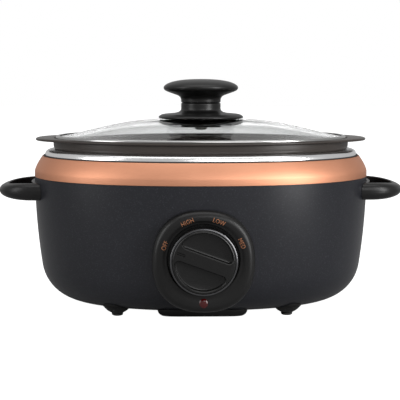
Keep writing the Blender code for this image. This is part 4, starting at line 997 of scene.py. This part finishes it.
def winged_ring(shrink, height):
    """The rim's plan: the oval mouth, flowing out into the two ears."""
    points = []
    for u, v in oval_points(HALF_WIDTH - RIM_OUT, HALF_DEPTH - RIM_OUT):
        turn = math.atan2(v, u)
        mouth = reach_at(turn, HALF_WIDTH - RIM_OUT, HALF_DEPTH - RIM_OUT, OVAL_POWER)
        ear = reach_at(turn, EAR_HALF_WIDTH, EAR_HALF_DEPTH, EAR_POWER)
        apart = max(EAR_FLARE - abs(mouth - ear), 0.0) / EAR_FLARE
        reach = max(mouth, ear) + apart * apart * EAR_FLARE / 4 - shrink
        points.append((reach * math.cos(turn), MIDDLE_Y + reach * math.sin(turn), height))
    return points


pot_inside = vessel(POT_INSET + POT_WALL, LEDGE_HEIGHT - 0.0020, WELL_DRAFT, POT_CORNER - POT_WALL,
                    POT_FLOOR + POT_WALL)
pot_outside = vessel(POT_INSET, POT_SEAT, WELL_DRAFT, POT_CORNER, POT_FLOOR)
ledge_in = LEDGE_INSET + LEDGE_WIDTH
ledge = [(ledge_in + 0.0004, LEDGE_HEIGHT - 0.0005), (ledge_in, LEDGE_HEIGHT), (LEDGE_INSET, LEDGE_HEIGHT),
         (LEDGE_INSET - 0.0002, POT_TOP - 0.0006), (LEDGE_INSET - 0.0005, POT_TOP - 0.0002),
         (LEDGE_INSET - 0.0010, POT_TOP)]
pot_rings = [body_ring(*point) for point in pot_inside + ledge]
rim_middle = POT_TOP - RIM_THICK / 2
ear_edge = EAR_THICK / 2
pot_rings.append(body_ring(RIM_OUT + 0.0012, POT_TOP))
pot_rings.append(body_ring(RIM_OUT + 0.0004, POT_TOP - 0.0003))
for turn in range(80, -81, -20):
    out = ear_edge * (1 - math.cos(math.radians(turn)))
    pot_rings.append(winged_ring(out, rim_middle + ear_edge * math.sin(math.radians(turn))))
pot_rings.append(body_ring(RIM_OUT + 0.0004, POT_TOP - RIM_THICK + 0.0003))
pot_rings.append(body_ring(RIM_OUT + 0.0012, POT_TOP - RIM_THICK))
skirt = eased([(SKIRT_INSET, POT_TOP - RIM_THICK), (SKIRT_INSET, POT_TOP - RIM_THICK - 0.002),
               (SKIRT_INSET + 0.0002, POT_SEAT + 0.0022), (SKIRT_INSET + 0.0012, POT_SEAT)], 3)
pot_rings += [body_ring(*point) for point in skirt + pot_outside[::-1]]
nonstick = finish("speckled_nonstick", NONSTICK_DARK, NONSTICK_LIGHT, (0.30, 0.40), mottle=12.0,
                  grain=(1300.0, 0.000020), flecks=(1500.0, 0.05, (0.040, 0.034, 0.030)), ior=1.42)
fit(skin("lift_out_pot", pot_rings), nonstick, "cooking_pot", "nonstick_coating", "cooking_pot")


# ---------------------------------------------------------------- Lid glass
# Tempered glass, pressed to a low dome that is flat under the knob and runs out softly to a brim. A
# hole in its middle takes the knob's screw.

glass_low, glass_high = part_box("lid_glass")
rim_low, rim_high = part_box("lid_rim")
TRIM_INSET = HALF_WIDTH - rim_high.x
TRIM_WIDTH = 0.0038
TRIM_METAL = 0.0005
GLASS_TOP, GLASS_LOW = glass_high.z, glass_low.z
GLASS_THICK = 0.0040
GLASS_BRIM = rim_high.z - TRIM_METAL - CLEARANCE
GLASS_BORE = 0.0034
BRIM_ROUND = 0.0006
DOME_INSET = TRIM_INSET + TRIM_WIDTH + 0.0010
DOME_SEAT = 0.20
DOME_SWELL = 2.3
DOME_BRIM = 1.5


def dome_rings(edge_height, rise, shrink, steps=28):
    """Rings from the flat seat in the dome's middle out to its brim."""
    rings = []
    for step in range(steps + 1):
        out = step / steps
        share = DOME_SEAT + (1 - DOME_SEAT) * out
        height = edge_height + rise * (1 - out ** DOME_SWELL) ** DOME_BRIM
        rings.append(level_ring((HALF_WIDTH - DOME_INSET - shrink) * share,
                                (HALF_DEPTH - DOME_INSET - shrink) * share, height))
    return rings


glass_edge = TRIM_INSET + TRIM_METAL + CLEARANCE
glass_top = dome_rings(GLASS_BRIM, GLASS_TOP - GLASS_BRIM, 0.0)
glass_under = dome_rings(GLASS_LOW, GLASS_TOP - GLASS_THICK - GLASS_LOW, 0.0010)
brim = [(glass_edge + BRIM_ROUND, GLASS_BRIM), (glass_edge, GLASS_BRIM - BRIM_ROUND),
        (glass_edge, GLASS_LOW + BRIM_ROUND), (glass_edge + BRIM_ROUND, GLASS_LOW)]
bore_top = level_ring(GLASS_BORE, GLASS_BORE, GLASS_TOP, 2.0)
bore_low = level_ring(GLASS_BORE, GLASS_BORE, GLASS_TOP - GLASS_THICK, 2.0)
glass_rings = [bore_top] + glass_top + [body_ring(*point) for point in brim] + glass_under[::-1] + [bore_low]
lid_glass = finish("tempered_glass", (0.930, 0.942, 0.944), (0.955, 0.964, 0.964), (0.0, 0.030), mottle=22.0,
                   contrast=1.3, coat=0.5, coat_roughness=0.02, ior=1.12)
lid_glass.node_tree.nodes["Principled BSDF"].inputs["Transmission Weight"].default_value = 1.0
fit(skin("lid_dome", glass_rings, closed=True), lid_glass, "lid", "clear_glass", "lid_glass")


# ---------------------------------------------------------------- Lid trim
# The steel channel crimped round the glass: a rolled strip, open inwards, with rounded outer corners.
# It drops into the ledge inside the pot's rim.

TRIM_LOW, TRIM_HIGH = rim_low.z, rim_high.z
TRIM_ROUND = 0.0017
TRIM_BEND = 0.0006
trim_in = TRIM_INSET + TRIM_WIDTH
trim_web = TRIM_INSET + TRIM_METAL
trim_outline = arc((TRIM_INSET + TRIM_ROUND, TRIM_LOW + TRIM_ROUND), TRIM_ROUND, 270, 180, 5)
trim_outline += arc((TRIM_INSET + TRIM_ROUND, TRIM_HIGH - TRIM_ROUND), TRIM_ROUND, 180, 90, 5)
trim_outline += [(trim_in - 0.0002, TRIM_HIGH), (trim_in, TRIM_HIGH - 0.0002),
                 (trim_in, TRIM_HIGH - TRIM_METAL)]
trim_bend = trim_web + TRIM_BEND
trim_outline += arc((trim_bend, TRIM_HIGH - TRIM_METAL - TRIM_BEND), TRIM_BEND, 90, 180, 3)
trim_outline += arc((trim_bend, TRIM_LOW + TRIM_METAL + TRIM_BEND), TRIM_BEND, 180, 270, 3)
trim_outline += [(trim_in, TRIM_LOW + TRIM_METAL), (trim_in, TRIM_LOW)]
trim_steel = finish("bright_trim_steel", (0.36, 0.36, 0.36), (0.48, 0.48, 0.47), (0.16, 0.24), metallic=1.0,
                    mottle=20.0, brush=(30.0, 60.0, 0.00002))
fit(skin("lid_trim", [body_ring(*point) for point in trim_outline], closed=True), trim_steel, "lid",
    "lid_trim_steel", "lid_rim")


# ---------------------------------------------------------------- Lid knob
# A mushroom knob in two heat-proof mouldings, a flared base and a domed grip, with a fine joint
# between them. One screw comes up through a washer under the glass and draws them together.

base_low, base_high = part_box("lid_knob_base")
grip_low, grip_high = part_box("lid_knob_grip")
washer_low, washer_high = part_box("lid_washer")
lid_screw_low, lid_screw_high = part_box("lid_screw")
NECK = 0.0187
BASE_REACH = base_high.x
GRIP_REACH = grip_high.x
KNOB_BORE = 0.0028
LID_SCREW_RADIUS = 0.0025
LID_SCREW_HEAD = 0.0060
LID_SCREW_CROSS = (0.0056, 0.0011, 0.0030)


def round_ring(radius, height):
    return level_ring(radius, radius, height, 2.0)


def turned(name, outline, closed=False):
    return skin(name, [round_ring(*point) for point in outline], closed=closed)


top, low = base_high.z, base_low.z
base_side = eased([(NECK, top - 0.0010), (NECK, top - 0.0046), (NECK + 0.0003, top - 0.0064),
                   (NECK + 0.0018, top - 0.0081), (NECK + 0.0062, top - 0.0094),
                   (BASE_REACH - 0.0047, top - 0.0105), (BASE_REACH - 0.0012, top - 0.0119),
                   (BASE_REACH, top - 0.0133), (BASE_REACH - 0.0006, low + 0.0005),
                   (BASE_REACH - 0.0022, low)])
knob_base = [(KNOB_BORE, top), (NECK - 0.0008, top), (NECK - 0.0002, top - 0.0004), *base_side,
             (KNOB_BORE, low)]
soft_black = finish("soft_black_moulding", (0.0040, 0.0039, 0.0038), (0.0064, 0.0062, 0.0060), (0.30, 0.40),
                    mottle=15.0, grain=(1900.0, 0.000014), ior=1.40)
fit(turned("knob_base", knob_base, closed=True), soft_black, "lid", "black_plastic", "lid_knob_base")

top, low = grip_high.z, grip_low.z
bore_end = low + 0.013
grip_side = eased([(0.0010, top), (GRIP_REACH * 0.28, top - 0.0002), (GRIP_REACH * 0.52, top - 0.0009),
                   (GRIP_REACH * 0.72, top - 0.0021), (GRIP_REACH * 0.87, top - 0.0038),
                   (GRIP_REACH - 0.0010, top - 0.0060), (GRIP_REACH, top - 0.0083),
                   (GRIP_REACH - 0.0019, top - 0.0110), (GRIP_REACH - 0.0094, top - 0.0139),
                   (NECK + 0.0023, top - 0.0158), (NECK + 0.0003, top - 0.0183), (NECK, low + 0.0012)])
knob_grip = grip_side + [(NECK - 0.0002, low + 0.0004), (NECK - 0.0008, low), (KNOB_BORE, low),
                         (KNOB_BORE, bore_end), (0.0005, bore_end)]
fit(turned("knob_grip", knob_grip), soft_black, "lid", "black_plastic", "lid_knob_grip")

top, low = washer_high.z, washer_low.z
washer_reach = washer_high.x
washer = [(KNOB_BORE, top), (washer_reach - 0.0006, top), (washer_reach - 0.0001, top - 0.0004),
          (washer_reach, top - 0.0009), (washer_reach - 0.0003, low + 0.0002), (washer_reach - 0.0008, low),
          (KNOB_BORE, low)]
fit(turned("knob_washer", washer, closed=True), soft_black, "lid", "black_plastic", "lid_washer")

top, low = lid_screw_high.z, lid_screw_low.z
head = low + 0.0031
lid_screw_outline = [(0.0006, top), (LID_SCREW_RADIUS, top - 0.0008), (LID_SCREW_RADIUS, head),
                     (LID_SCREW_HEAD, head), (LID_SCREW_HEAD, head - 0.0010), (0.0056, head - 0.0018),
                     (0.0044, head - 0.0027), (0.0026, low + 0.0001), (0.0006, low)]
lid_screw = turned("knob_screw", lid_screw_outline)
for turn in (0.0, 90.0):
    carve(lid_screw, "DIFFERENCE", slot_form((0.0, MIDDLE_Y, low), turn, LID_SCREW_CROSS))
fit(lid_screw, screw_steel, "lid", "fastener_steel", "lid_screw")


# ---------------------------------------------------------------- Studio
# A pale floor in a bright, even room that the camera sees as white, four soft boxes at the left, the
# right, the front and above, and the camera, just higher than the knob and a little left of the middle.

FLOOR_HALF = 6.0
CAMERA_PLACE = (-0.021, MIDDLE_Y - 1.0405, 0.2190)
CAMERA_AIM = (-0.0008, MIDDLE_Y, 0.1100)
CAMERA_LENS = 98.66
CAMERA_SHIFT = -0.0312
SENSOR = 36.0
AMBIENT = 0.52
FLOOR_GLOW = 1.0


def soft_box(name, place, aim, size, power):
    light = bpy.data.lights.new(name, "AREA")
    light.shape = "RECTANGLE"
    light.size, light.size_y = size
    light.energy = power
    obj = piece(name, light)
    obj.location = place
    obj.rotation_euler = (Vector(aim) - Vector(place)).to_track_quat("-Z", "Y").to_euler()


floor_built = bmesh.new()
floor_built.faces.new([floor_built.verts.new((x * FLOOR_HALF, y * FLOOR_HALF, 0.0))
                       for x, y in ((-1, -1), (1, -1), (1, 1), (-1, 1))])
floor = piece("floor", sheet_from(floor_built, "floor"))
floor_paper = finish("floor_paper", (0.34, 0.34, 0.34), (0.38, 0.38, 0.38), (0.80, 0.90), mottle=3.0)
paper = floor_paper.node_tree
lit = paper.nodes.new("ShaderNodeLightPath")
glow = paper.nodes.new("ShaderNodeMapRange")
glow.inputs["To Max"].default_value = FLOOR_GLOW
paper.links.new(lit.outputs["Is Camera Ray"], glow.inputs["Value"])
paper.links.new(glow.outputs["Result"], paper.nodes["Principled BSDF"].inputs["Emission Strength"])
paper.nodes["Principled BSDF"].inputs["Emission Color"].default_value = (1.0, 1.0, 1.0, 1.0)
floor.data.materials.append(floor_paper)

AIM = (0.0, MIDDLE_Y, 0.10)
soft_box("left_box", (-1.30, -0.75, 0.65), AIM, (0.6, 1.2), 8.0)
soft_box("right_box", (1.15, -1.05, 0.55), AIM, (0.5, 1.2), 20.0)
soft_box("front_box", (0.45, -1.70, 0.95), AIM, (0.9, 0.7), 6.0)
soft_box("top_box", (0.0, -0.15, 1.60), AIM, (1.6, 1.0), 8.0)

world = bpy.context.scene.world or bpy.data.worlds.new("studio")
bpy.context.scene.world = world
world.use_nodes = True
sky = world.node_tree
sky.nodes["Background"].inputs["Color"].default_value = (1.0, 1.0, 1.0, 1.0)
path = sky.nodes.new("ShaderNodeLightPath")
seen = sky.nodes.new("ShaderNodeMath")
seen.operation = "MAXIMUM"
strength = sky.nodes.new("ShaderNodeMapRange")
strength.inputs["To Min"].default_value = AMBIENT
sky.links.new(path.outputs["Is Camera Ray"], seen.inputs[0])
sky.links.new(path.outputs["Is Transmission Ray"], seen.inputs[1])
sky.links.new(seen.outputs[0], strength.inputs["Value"])
sky.links.new(strength.outputs["Result"], sky.nodes["Background"].inputs["Strength"])
bpy.context.scene.view_settings.view_transform = "Standard"

camera_data = bpy.data.cameras.new("camera")
camera_data.lens = CAMERA_LENS
camera_data.sensor_width = SENSOR
camera_data.shift_y = CAMERA_SHIFT
camera_data.clip_start = 0.05
camera = piece("camera", camera_data)
camera.location = CAMERA_PLACE
camera.rotation_euler = (Vector(CAMERA_AIM) - Vector(CAMERA_PLACE)).to_track_quat("-Z", "Y").to_euler()
bpy.context.scene.camera = camera
